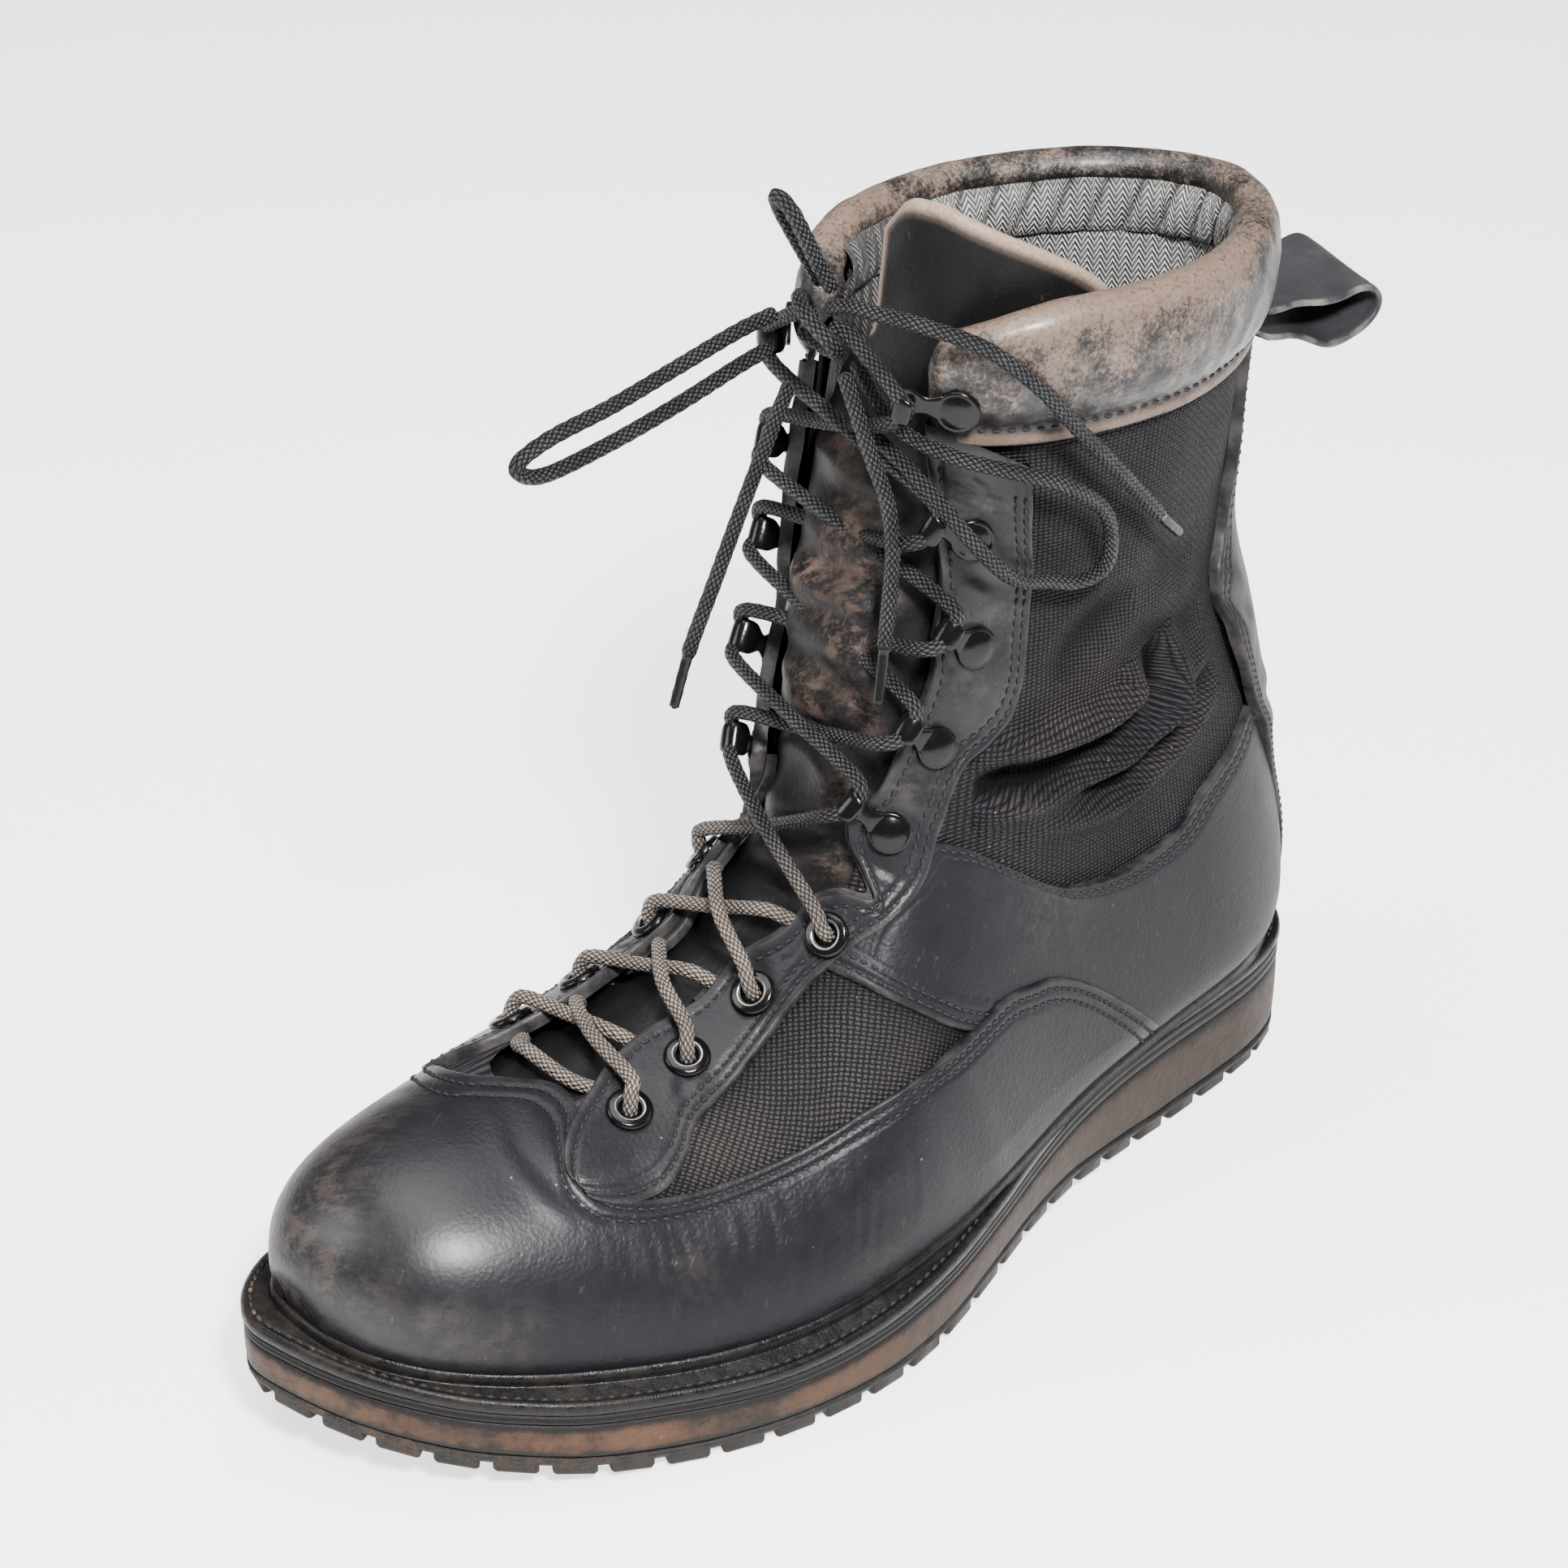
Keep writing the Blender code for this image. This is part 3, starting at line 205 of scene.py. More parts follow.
def half_last(side):
    """Points of one half of the last on a regular net of section and share of the outline's
    length: a superellipse above and below the widest point, between ridge and base. Also each
    outline's length, and how much of it lies above the upper's lower edge."""
    s = S_ROWS
    columns = np.moveaxis(curve(SECTIONS, s), 1, 0)[..., None]
    tx, tz, bx, bz, centre, outer, inner, belly, crown, bottom = columns
    turn = np.linspace(0, np.pi, 901)
    square = np.where(turn <= np.pi / 2, crown, bottom)
    rise = np.abs(np.cos(turn)) ** (2 / square)
    share = np.where(turn <= np.pi / 2, belly + (1 - belly) * rise, belly * (1 - rise))
    half = np.maximum(outer if side > 0 else inner, 0)
    line = np.stack([bx + (tx - bx) * share,
                     centre + side * half * np.abs(np.sin(turn)) ** (2 / square),
                     bz + (tz - bz) * share], -1)
    run = np.pad(np.cumsum(np.linalg.norm(np.diff(line, axis=1), axis=-1), 1), ((0, 0), (1, 0)))
    even = np.linspace(0, 1, T_COUNT)
    net = np.empty((len(s), T_COUNT, 3))
    high = run[:, -1].copy()
    for k in range(len(s)):
        net[k] = along(even * run[k, -1], run[k], line[k])
        above = line[k, :, 2] - smooth(FEATHER, line[k, :, 0])
        if (above[1:] < 0).any() and above[0] > 0:
            j = int(np.argmax(above < 0))
            high[k] = np.interp(0, [above[j], above[j - 1]], [run[k, j], run[k, j - 1]])
    return net, run[:, -1], high


NET, LENGTH, REACH = (np.stack(pair) for pair in zip(half_last(1), half_last(-1)))
NORMAL = np.cross(np.gradient(NET, axis=2), np.gradient(NET, axis=1))
NORMAL = normed(NORMAL * np.array([1, -1])[:, None, None, None])
NORMAL[:, 0] = NORMAL[:, 1]
NORMAL[:, :, 0] = NORMAL[:, :, 1].sum(0)
BASE = curve(SECTIONS, S_ROWS)[:, 2:4]
ABOVE_EDGE = BASE[:, 1] > smooth(FEATHER, BASE[:, 0])
HIND = 220               # looked-up section behind the arch
# Section from which the outline ends at the back seam.
HEEL = float(S_ROWS[HIND + np.argmax(ABOVE_EDGE[HIND:])])
NORMAL[:, int(HEEL / S_STEP):, -1] = NORMAL[:, int(HEEL / S_STEP):, -2].sum(0)
NORMAL = normed(NORMAL)


def look_up(net, s, d):
    """Bilinear value of a net at section s and distance d from the ridge, minus for inner."""
    s, d = np.broadcast_arrays(np.asarray(s, float), np.asarray(d, float))
    side = (d < 0).astype(int)
    a = np.clip(s / S_STEP, 0, len(S_ROWS) - 1.001)
    i = a.astype(int)
    fa = a - i
    length = LENGTH[side, i] * (1 - fa) + LENGTH[side, i + 1] * fa
    b = np.clip(np.abs(d) / np.maximum(length, 1e-6) * (T_COUNT - 1), 0, T_COUNT - 1.001)
    j = b.astype(int)
    fa, fb = fa[..., None], (b - j)[..., None]
    return ((net[side, i, j] * (1 - fb) + net[side, i, j + 1] * fb) * (1 - fa)
            + (net[side, i + 1, j] * (1 - fb) + net[side, i + 1, j + 1] * fb) * fa)


def place(s, d):
    """Point of the last at section s and distance d from the ridge, minus for the inner side."""
    return look_up(NET, s, d)


def facing(s, d):
    """Outward direction of the last there."""
    return normed(look_up(NORMAL, s, d))


def skin(s, d, h):
    """Point of the last raised by h along the outward direction."""
    return place(s, d) + facing(s, d) * np.asarray(h, float)[..., None]


def reach(s, side):
    """Distance from the ridge down to the upper's lower edge or back to the seam."""
    return np.interp(s, S_ROWS, REACH[0 if side > 0 else 1])


def run_of(points):
    """Running length along the rows of points."""
    return np.pad(np.cumsum(np.linalg.norm(np.diff(points, axis=0), axis=-1), 0),
                  [(1, 0)] + [(0, 0)] * (points.ndim - 2))


def evenly(rows, step):
    """Curve through the rows, with its points a step apart."""
    rows = np.asarray(rows, float)
    fine = curve(rows, np.linspace(0, len(rows) - 1, 60 * len(rows)))
    run = run_of(fine)
    even = np.linspace(0, run[-1], max(3, int(round(run[-1] / step)) + 1))
    return along(even, run, fine)


def grid_mesh(name, points, outward, ring=False, uv=None):
    """Smooth mesh of a grid of points in millimetres. ring closes it along the columns. outward
    is the way that the faces look at each point. uv is two arrays over rows and columns, with
    one more column where the grid is a ring."""
    rows, columns = points.shape[:2]
    i = np.arange(rows - 1)[:, None]
    j = np.arange(columns if ring else columns - 1)[None, :]
    row = np.stack(np.broadcast_arrays(i, i, i + 1, i + 1 + 0 * j), -1).reshape(-1, 4)
    column = np.stack(np.broadcast_arrays(j + 0 * i, j + 1, j + 1, j), -1).reshape(-1, 4)
    quads = row * columns + column % columns
    flat = np.asarray(points, float).reshape(-1, 3)
    face = np.cross(flat[quads[:, 2]] - flat[quads[:, 0]], flat[quads[:, 3]] - flat[quads[:, 1]])
    guide = np.broadcast_to(outward, points.shape).reshape(-1, 3)[quads[:, 0]]
    if (face * guide).sum() < 0:
        quads, row, column = quads[:, ::-1], row[:, ::-1], column[:, ::-1]
    mesh = raw_mesh(name, flat, quads)
    if uv is not None:
        corner = np.stack([np.asarray(k, float)[row, column] for k in uv], -1)
        mesh.uv_layers.new(name="cut").data.foreach_set("uv", corner.astype(np.float32).ravel())
    return mesh


def raw_mesh(name, points, quads):
    """Mesh from points in millimetres and an array of faces, shaded smooth."""
    mesh = bpy.data.meshes.new(name)
    mesh.vertices.add(len(points))
    mesh.vertices.foreach_set("co", (np.asarray(points, float) * MM).ravel())
    quads = np.asarray(quads, int)
    mesh.loops.add(quads.size)
    mesh.loops.foreach_set("vertex_index", quads.ravel())
    mesh.polygons.add(len(quads))
    mesh.polygons.foreach_set("loop_start", np.arange(0, quads.size, quads.shape[1]))
    mesh.polygons.foreach_set("use_smooth", np.ones(len(quads), bool))
    mesh.update(calc_edges=True)
    return mesh


def layer(mesh, name, values):
    """Number at each point, read by the finish under its name."""
    field = mesh.attributes.new(name, "FLOAT", "POINT")
    field.data.foreach_set("value", np.asarray(values, np.float32).ravel())


def piece(name, mesh, finish, slot, *nodes):
    """Object that rides on the boot and stands for its CAD nodes."""
    obj = bpy.data.objects.new(name, mesh)
    bpy.context.scene.collection.objects.link(obj)
    mesh.materials.append(finish.material)
    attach(obj, "root")
    if nodes:
        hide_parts(*nodes)
    return obj


class Wire:
    """A node's output that takes part in sums: each operator adds one Math node."""

    def __init__(self, finish, socket):
        self.finish, self.socket = finish, socket

    def maths(self, operation, *values):
        """One Math node on these values."""
        return self.finish.node("ShaderNodeMath", {"operation": operation}, dict(enumerate(values)))

    def __add__(self, other):
        return self.maths("ADD", self, other)

    def __sub__(self, other):
        return self.maths("SUBTRACT", self, other)

    def __rsub__(self, other):
        return self.maths("SUBTRACT", other, self)

    def __mul__(self, other):
        return self.maths("MULTIPLY", self, other)

    def __truediv__(self, other):
        return self.maths("DIVIDE", self, other)

    __radd__, __rmul__ = __add__, __mul__

    def step(self, low, high):
        """Smooth rise from 0 at low to 1 at high, or fall where low is the greater."""
        return self.finish.node("ShaderNodeMapRange", {"interpolation_type": "SMOOTHSTEP"},
                                {0: self, 1: min(low, high), 2: max(low, high),
                                 3: float(low > high), 4: float(low <= high)})


class Finish:
    """Material of one kind of surface, with its pattern worked out by nodes."""

    def __init__(self, name, **constants):
        self.material = bpy.data.materials.new(name)
        self.material.use_nodes = True
        self.tree = self.material.node_tree
        self.shader = self.tree.nodes["Principled BSDF"]
        for socket, value in constants.items():
            self.feed(socket.replace("_", " "), value)

    def feed(self, socket, value):
        """Links or sets one of the shader's sockets."""
        target = self.shader.inputs[socket]
        if isinstance(value, Wire):
            self.tree.links.new(value.socket, target)
        else:
            target.default_value = value

    def node(self, kind, settings, inputs, out=0):
        """Node of a kind, its settings made first, then its inputs set or linked."""
        made = self.tree.nodes.new(kind)
        for key, value in settings.items():
            setattr(made, key, value)
        for key, value in inputs.items():
            if isinstance(value, Wire):
                self.tree.links.new(value.socket, made.inputs[key])
            else:
                made.inputs[key].default_value = value
        return Wire(self, made.outputs[out])

    def mm(self):
        """Place on the boot in millimetres."""
        spot = self.node("ShaderNodeTexCoord", {}, {}, "Object")
        return self.node("ShaderNodeVectorMath", {"operation": "SCALE"}, {0: spot, 3: 1000.0})

    def cut(self):
        """Place on the flat piece, in millimetres."""
        return self.node("ShaderNodeUVMap", {"uv_map": "cut"}, {})

    def stretched(self, vector, scale, angle=0.0):
        """Coordinates turned about their third axis and then divided by a size along each."""
        return self.node("ShaderNodeMapping", {"vector_type": "TEXTURE"},
                         {0: vector, 2: (0, 0, np.radians(angle)), 3: scale})

    def part(self, vector, axis):
        """One of a vector's three numbers."""
        return self.node("ShaderNodeSeparateXYZ", {}, {0: vector}, axis)

    def held(self, name):
        """Number stored on the mesh."""
        return self.node("ShaderNodeAttribute", {"attribute_name": name}, {}, "Fac")

    def cloud(self, vector, size, detail=3.0, rough=0.55):
        """Noise with features of a size in the vector's units."""
        return self.node("ShaderNodeTexNoise", {}, {"Vector": vector, "Scale": 1.0 / size, "Detail": detail,
                                                    "Roughness": rough})

    def cells(self, vector, size):
        """Distance inside cells of a size in the vector's units."""
        return self.node("ShaderNodeTexVoronoi", {}, {"Vector": vector, "Scale": 1.0 / size})

    def between(self, share, first, second):
        """Colour part of the way from the first to the second."""
        first = first if isinstance(first, Wire) else (*first, 1.0)
        second = second if isinstance(second, Wire) else (*second, 1.0)
        return self.node("ShaderNodeMix", {"data_type": "RGBA", "clamp_factor": True},
                         {0: share, 6: first, 7: second}, 2)

    def bump(self, height, depth):
        """Normal tilted by a height, whose full range is a depth in millimetres."""
        return self.node("ShaderNodeBump", {}, {"Strength": 1.0, "Distance": depth * MM, "Height": height})

    def weave(self, a, b):
        """Height of a plain weave, 0 to 1: in every other cell the yarn along the first axis
        passes over, in the rest the other. Each is round across and dips at the cell's ends."""
        cell_a, cell_b = a.maths("FLOOR", a), b.maths("FLOOR", b)
        odd = a.maths("ABSOLUTE", a.maths("MODULO", cell_a + cell_b, 2.0))
        one, two = a.maths("SINE", (a - cell_a) * np.pi), a.maths("SINE", (b - cell_b) * np.pi)
        return (1 - odd) * one * (0.45 + two * 0.55) + odd * two * (0.45 + one * 0.55)


LACE = 4.2               # lace diameter
LACE_CORE = 0.43 * LACE  # radius under the ribs of the braid
LACE_STEP = 0.8          # spacing of the rings
AROUND = 14              # points round the lace
STRANDS = 8              # strands met going once round it
BRAID = 1.9              # length of lace that a strand takes to its next crossing
TAG = 14.0               # length of the hard tag


def braid(name, worn, lit):
    """Braid of slanting strands that pass over and under, with lint on it. Painted light makes the strands'
    crowns lighter and the gaps between them darker.
    """
    lace = Finish(name, Specular_IOR_Level=0.16)
    flat = lace.cut()
    forward, around = lace.part(flat, 0) / BRAID, lace.part(flat, 1)
    height = lace.weave(forward + around, forward - around)
    mm = lace.mm()
    faded = lace.held("faded")
    patches = lace.cloud(mm, 9.0, 4.0).step(0.35, 0.65)
    tag = lace.held("tag")
    dark = lace.between(faded, (0.0010, 0.0010, 0.0012), (0.042, 0.034, 0.029))
    light = lace.between(faded, lit, worn)
    fibre = lace.cloud(mm, 0.35, 2.0)
    # Painted light: the strands' crowns are lighter and the gaps between them darker.
    shade_and_tone = height.step(0.15, 0.9) * (0.55 + patches * 0.45) * (0.45 + fibre * 1.1)
    colour = lace.between(shade_and_tone, dark, light)
    lace.feed("Base Color", lace.between(tag, colour, (0.004, 0.004, 0.004)))
    lace.feed("Roughness", (0.32 + fibre * 0.2) * (1 - tag * 0.35))
    lace.feed("Normal", lace.bump((height + fibre * 0.35) * (1 - tag), 0.9))
    return lace


lace_braid = braid("lace_braid", (0.245, 0.205, 0.175), (0.036, 0.036, 0.038))


def circle(count):
    """Angles of equally spaced points round a circle."""
    return np.linspace(0, 2 * np.pi, count, endpoint=False)


def domed(x):
    """Quarter of a circle: rises from 0 at 0 to 1 at 1 and stays there."""
    return np.sqrt(ramp(1 - (1 - ramp(x)) ** 2))


def lace_rings(path, tip):
    """Rings round a path, each turned as little as possible from the one before, with their
    ends drawn in to a point. tip makes the end a hard tag, a little thinner."""
    way = normed(np.gradient(path, axis=0))
    first = np.empty_like(path)
    lift = np.cross(way[0], (0.31, 0.17, 0.93))
    for k, t in enumerate(way):
        lift = lift - t * (lift @ t)
        lift /= np.linalg.norm(lift)
        first[k] = lift
    second = np.cross(way, first)
    run = run_of(path)
    turn = circle(AROUND)
    ribs = 1 + 0.05 * np.cos(STRANDS * turn[None] / 2) * np.cos(run[:, None] * np.pi / BRAID)
    left = np.minimum(run, run[-1] - run)
    thick = LACE_CORE * domed(left / (0.6 * LACE_CORE))
    if tip:
        thick *= 1 - 0.30 * ramp(run - run[-1] + TAG)
    ray = first[:, None] * np.cos(turn)[None, :, None] + second[:, None] * np.sin(turn)[None, :, None]
    rings = path[:, None] + ray * (thick[:, None] * ribs)[..., None]
    uv = (np.repeat(run[:, None], AROUND + 1, 1),
          np.repeat(np.linspace(0, STRANDS, AROUND + 1)[None], len(path), 0))
    return rings, uv


def lace_mesh(name, path, faded, tip=False):
    """Mesh of one lace along a path, with how far it has faded at each point."""
    rings, uv = lace_rings(path, tip)
    mesh = grid_mesh(name, rings, rings - path[:, None], ring=True, uv=uv)
    layer(mesh, "faded", np.repeat(np.broadcast_to(faded, len(path)), AROUND))
    run = run_of(path)
    layer(mesh, "tag", np.repeat(ramp((run - run[-1] + TAG) * 4) * tip, AROUND))
    return mesh


def joined(name, meshes):
    """One mesh out of several, their attributes and UV maps kept."""
    whole = bmesh.new()
    for mesh in meshes:
        whole.from_mesh(mesh)
    out = bpy.data.meshes.new(name)
    whole.to_mesh(out)
    whole.free()
    return out


# Fittings: section, distance from the ridge on the outer side and on the inner side.
EYELETS = ((4.83, 26.5, 22.0), (5.42, 23.7, 19.5), (6.2, 22.5, 18.0), (7.35, 27.5, 23.0))
HOOKS = ((9.5, 28.5, 25.5), (11.2, 38.5, 35.0), (13.2, 44.0, 40.5), (15.4, 35.5, 33.5), (18.05, 27.7, 27.0))
STAY_FACE = 2.25         # height of the eyestay's face
COLLAR_FACE = 5.9        # height of the collar's face
FOOT = 6.7               # radius round a fitting that has to clear the leather
LIP = (10.7, 3.9)        # where the lace lies under a hook's lip: forward, out
WEAVE_OVER = 2.2         # how far one lace lies above or below another where they cross


def seat(s, d, base):
    """Place of a fitting whose flat foot clears the surface at height base: centre, way to the
    throat, way up the lacing, way out."""
    side = np.sign(d)
    out, centre = facing(s, d), place(s, d)
    forward = place(s, d - 2 * side) - place(s, d + 2 * side)
    forward -= out * (forward @ out)
    forward /= np.linalg.norm(forward)
    up = np.cross(out, forward) * -side
    near = skin(s + np.linspace(-0.5, 0.5, 17)[:, None], d + np.linspace(-7, 7, 9)[None], base) - centre
    rise = near @ out
    inside = np.linalg.norm(near - rise[..., None] * out, axis=-1) < FOOT
    return centre + out * (max(0.0, rise[inside].max()) + 0.45), forward, up, out


SEATS = {}
for side, word in SIDES:
    for number, row in enumerate(EYELETS, 1):
        SEATS["eyelet", word, number] = seat(row[0], side * row[side], STAY_FACE)
    for number, row in enumerate(HOOKS, 1):
        face = STAY_FACE if number < len(HOOKS) else COLLAR_FACE
        SEATS["hook", word, number] = seat(row[0], side * row[side], face)


def from_seat(key, forward, up, out):
    """Point at distances from a fitting's centre."""
    centre, *ways = SEATS[key]
    return centre + sum(way * step for way, step in zip(ways, (forward, up, out)))


def other(word):
    """Name of the side across the throat."""
    return "medial" if word == "lateral" else "lateral"


def over_throat(first, second, lift):
    """Point half way between two, raised where this lace passes over the other."""
    return 0.5 * (first + second) + np.array([0.75, 0.0, 0.66]) * lift


def eyelet_rise(word, k):
    """Points of a lace that comes up through eyelet k."""
    key = ("eyelet", word, k)
    return [from_seat(key, -0.6, 0, -2.5), from_seat(key, 0.2, 0.2, 0.4), from_seat(key, 2.2, 1.2, 2.9),
            from_seat(key, 6.0, 3.0, 3.6)]


def eyelet_dive(word, k):
    """Points of a lace that goes under the eyestay's edge just below eyelet k."""
    side = 1 if word == "lateral" else -1
    s = EYELETS[k - 1][0]
    gap = float(by_row(THROAT, s - 0.2, side))
    return [skin(s - 0.34, side * (gap - 6.5), 3.6), skin(s - 0.24, side * (gap - 1.6), 1.3),
            skin(s - 0.16, side * (gap + 3.5), -1.7)]


lace_parts = []
bar = [skin(4.80, 17, -1.6), skin(4.66, 11, -0.4), skin(4.58, 5, 1.2), skin(4.56, -3, 1.7),
       skin(4.6, -9, 0.4), skin(4.76, -15, -1.6)]
lace_parts.append(evenly(bar, LACE_STEP))
for side, word in SIDES:
    lift = side * WEAVE_OVER
    for k in (1, 2, 3):
        up, down = eyelet_rise(word, k), eyelet_dive(other(word), k + 1)
        lace_parts.append(evenly(up + [over_throat(up[-1], down[0], lift + 1.2)] + down, LACE_STEP))
    path, at = eyelet_rise(word, 4), word
    for k in range(1, 6):
        at = other(at)
        key = ("hook", at, k)
        before = from_seat(key, LIP[0] + 4.2, -6.0, LIP[1] - 0.6)
        path.append(over_throat(path[-1], before, lift if k % 2 else -lift))
        path += [before, from_seat(key, LIP[0] + 0.2, -0.8, LIP[1])]
        if k < 5:
            path += [from_seat(key, LIP[0] + 0.3, 1.4, LIP[1]),
                     from_seat(key, LIP[0] + 4.5, 6.0, LIP[1] - 0.4)]
    path += [from_seat(key, LIP[0] + 2.5, 2.4, LIP[1] + 0.8), np.array([107.0, -1 - side * 9.0, 240.5]),
             np.array([108.0, -1 - side * 3.0, 241.5])]
    lace_parts.append(evenly(path, LACE_STEP))

crossings = [lace_mesh("crossing", path, ramp((119.0 - path[:, 2]) / 20.0)) for path in lace_parts]
piece("braid_crossings", joined("lace_crossings", crossings), lace_braid, "lace", "lace_crossings")

# Loose lace: its points along the foot, across it and up, and what its end is.
LOOSE_LACE = {
    "lace_knot": ([(103, -12, 239), (106.5, -10, 244), (111, -5.5, 246), (113, 0.5, 244), (111, 5.5, 239.5),
        (107.5, 3.5, 235.5), (107, -2.5, 235), (109.5, -7.5, 238)], "object"),
    "lace_loop_front": ([(112.5, -12, 241), (124, -11, 240), (142, -10, 236.5), (160, -9, 233),
        (178, -8, 230.5), (186.5, -8, 226.5), (180, -8, 222.5), (162, -9, 224), (142, -10, 227.5),
        (124, -11, 231.5), (114, -12, 233)], "object"),
    "lace_loop_upright": ([(106, -3.5, 249.2), (111, -4, 258), (117, -4.5, 269), (119.5, -2.5, 273.5),
        (117.5, 0.5, 270), (112, 1, 259), (107, 1.5, 249.5)], "object"),
    "lace_end_front": ([(114.5, -4, 227.5), (117.5, -5, 220), (121.5, -6, 210), (127.5, -7, 196),
        (134, -7.5, 181.5), (141, -8, 166), (146, -8, 152)], "bare"),
    "lace_end_low": ([(109.5, 8.5, 233), (108.5, 11, 226), (106.6, 15, 214), (105, 19.2, 203),
        (104.8, 21, 191), (107, 22.5, 179), (110, 24.5, 167), (113, 26.5, 156.5)], "bare")}
# Loose lace lying on the boot: section, distance from the ridge, height above the upper.
RESTING_LACE = {
    "lace_loop_side": ([(18.4, 7, 9), (17.9, 10, 6.5), (17.45, 16, 6.5), (17.32, 22, 7.5), (17.32, 30, 8.5),
        (17.35, 40, 8.5), (17.32, 52, 8), (17.05, 64, 6.5), (16.5, 70.5, 5.5), (15.9, 71.5, 5),
        (15.45, 65, 5), (15.25, 56, 5.5), (15.1, 47, 8.5), (15.3, 39.5, 11.5), (15.8, 32.5, 11.5),
        (16.3, 26, 9), (16.7, 19, 7), (17, 12, 6), (17.4, 5, 5.5)], "object"),
    "lace_end_side": ([(18.95, 0, 10), (19.1, 6, 10), (19.15, 14, 10.5), (19.1, 23, 10), (18.9, 33, 9.5),
        (18.5, 43, 9), (18.1, 52, 8.5), (17.7, 63, 8), (17.35, 74, 6), (17.05, 85, 5), (16.85, 94, 4.5)],
        "bare")}
for name, (rows, end) in RESTING_LACE.items():
    rows = np.array(rows, float)
    LOOSE_LACE[name] = (skin(rows[:, 0], rows[:, 1], rows[:, 2]), end)
# One piece for each loose lace.
for name, (rows, end) in LOOSE_LACE.items():
    path = evenly(rows, LACE_STEP)
    mesh = lace_mesh(name, path, 0.0, tip=end == "bare")
    cord = piece(name.replace("lace", "braid"), mesh, lace_braid, "lace", name)
    path[0] * MM
    path * MM


# ------------------------ Woven nylon of the shaft
# Heavy woven nylon is the lowest layer from the instep up to the collar. It is stitched under
# the leather all round and folds deeply where the ankle bends.
# Ellipse that stands for the shaft seen from above, for laying out the weave.
SHAFT_REACH = 58.0       # half length
SHAFT_HALF = 41.0        # half width
SHAFT_MIDDLE = 42.0      # place of its middle along the foot
CLOTH_DEPTH = 0.9        # how far the cloth lies below the last
FOLD_STEPS = 60          # places along a fold


def furrows(points, table):
    """Height of soft folds, each a path of (section, distance) with a depth, a width and how
    much of the depth the ridges beside it have. The trough is a bell across the path."""
    total = np.zeros(points.shape[:-1])
    flat = points.reshape(-1, 3)
    for path, depth, width, ridge in table:
        rows = np.array(path, float)
        fine = curve(rows, np.linspace(0, len(rows) - 1, FOLD_STEPS))
        line = place(fine[:, 0], fine[:, 1])
        fade = np.sin(np.linspace(0, np.pi, FOLD_STEPS)) ** 0.6
        gap = np.linalg.norm(flat[:, None] - line[None], axis=2)
        near = gap.argmin(1)
        r = gap[np.arange(len(flat)), near] / width
        shape = -np.exp(-r ** 2) + ridge * np.exp(-(r - 1.9) ** 2 / 0.8)
        total += (shape * depth * fade[near]).reshape(total.shape)
    return total


def wander(points, size, seed, depth=1.0):
    """Gentle unevenness: a sum of seven waves in fixed directions, each near size in length."""
    rng = np.random.default_rng(seed)
    ways = rng.normal(size=(3, 7))
    ways /= np.linalg.norm(ways, axis=0) * size * rng.uniform(0.7, 1.5, 7)
    return np.sin(points @ ways * 2 * np.pi + rng.uniform(0, 6.28, 7)).sum(-1) * depth / 4.0


def spots(points, table):
    """Sum of soft round spots, each at a (section, distance) with a radius and an amount."""
    total = np.zeros(points.shape[:-1])
    for s, d, radius, amount in table:
        total += amount * bell(np.linalg.norm(points - place(s, d), axis=-1), radius)
    return total


def both_sides(low, high, rows, columns, inset):
    """Sections and distances from under the throat's edge on the outer side, round by the back
    seam or the lower edge, to the throat's edge on the inner side."""
    s = np.linspace(low, high, rows)[:, None]
    share = np.linspace(0, 1, columns)[None, :]
    d = []
    for side in (1, -1):
        gap = np.where(s < THROAT[0, 0], 0, by_row(THROAT, s, side) + inset)
        d.append(side * (gap + (reach(s, side) - gap) * share))
    return s + np.zeros((1, 2 * columns - 1)), np.concatenate([d[0], d[1][:, -2::-1]], 1)


def round_the_leg(points):
    """Layout of cloth that goes round the leg: length of an ellipse's arc to the point's
    bearing, and the height, both in millimetres."""
    bearing = np.linspace(-np.pi, np.pi, 721)
    pace = np.hypot(SHAFT_REACH * np.sin(bearing), SHAFT_HALF * np.cos(bearing))
    arc = np.cumsum(pace) * (bearing[1] - bearing[0])
    angle = np.arctan2(points[..., 1] / SHAFT_HALF, (points[..., 0] - SHAFT_MIDDLE) / SHAFT_REACH)
    return np.interp(angle, bearing, arc), points[..., 2]


def woven(name, dark, light, yarn, pick):
    """Plain weave of dull filament yarn, greyer where it is rubbed, with lint on it. Painted light makes
    the weave's crowns lighter and its hollows and deep folds darker.
    """
    cloth = Finish(name, Specular_IOR_Level=0.10)
    mm, flat = cloth.mm(), cloth.cut()
    drift = cloth.cloud(mm, 11.0, 2.0) * 1.3
    height = cloth.weave((cloth.part(flat, 0) + drift) / yarn, (cloth.part(flat, 1) + drift) / pick)
    uneven, broad = cloth.cloud(mm, 1.1, 2.0), cloth.cloud(mm, 24.0, 4.0)
    # Painted light: the weave's crowns are lighter and its hollows darker.
    shade_and_tone = height * (0.25 + uneven * 0.75) * (0.35 + broad * 0.95)
    lint = cloth.cells(mm, 7.0).step(0.045, 0.03)
    colour = cloth.between(shade_and_tone, dark, light)
    rubbed = cloth.held("wear") * broad.step(0.4, 0.7) * height
    colour = cloth.between(rubbed * 0.5, colour, (0.070, 0.058, 0.051))
    # Painted shade: near black deep in the folds.
    colour = cloth.between(cloth.held("painted_shade") * 0.95, colour, (0.0004, 0.0004, 0.0004))
    cloth.feed("Base Color", cloth.between(lint * 0.5, colour, (0.20, 0.18, 0.17)))
    cloth.feed("Roughness", 0.6 + uneven * 0.25 + cloth.held("painted_shade") * 0.2)
    cloth.feed("Normal", cloth.bump(height + uneven * 0.3, 0.9))
    return cloth


nylon = woven("nylon", (0.0010, 0.0009, 0.0011), (0.040, 0.035, 0.041), 1.45, 1.0)

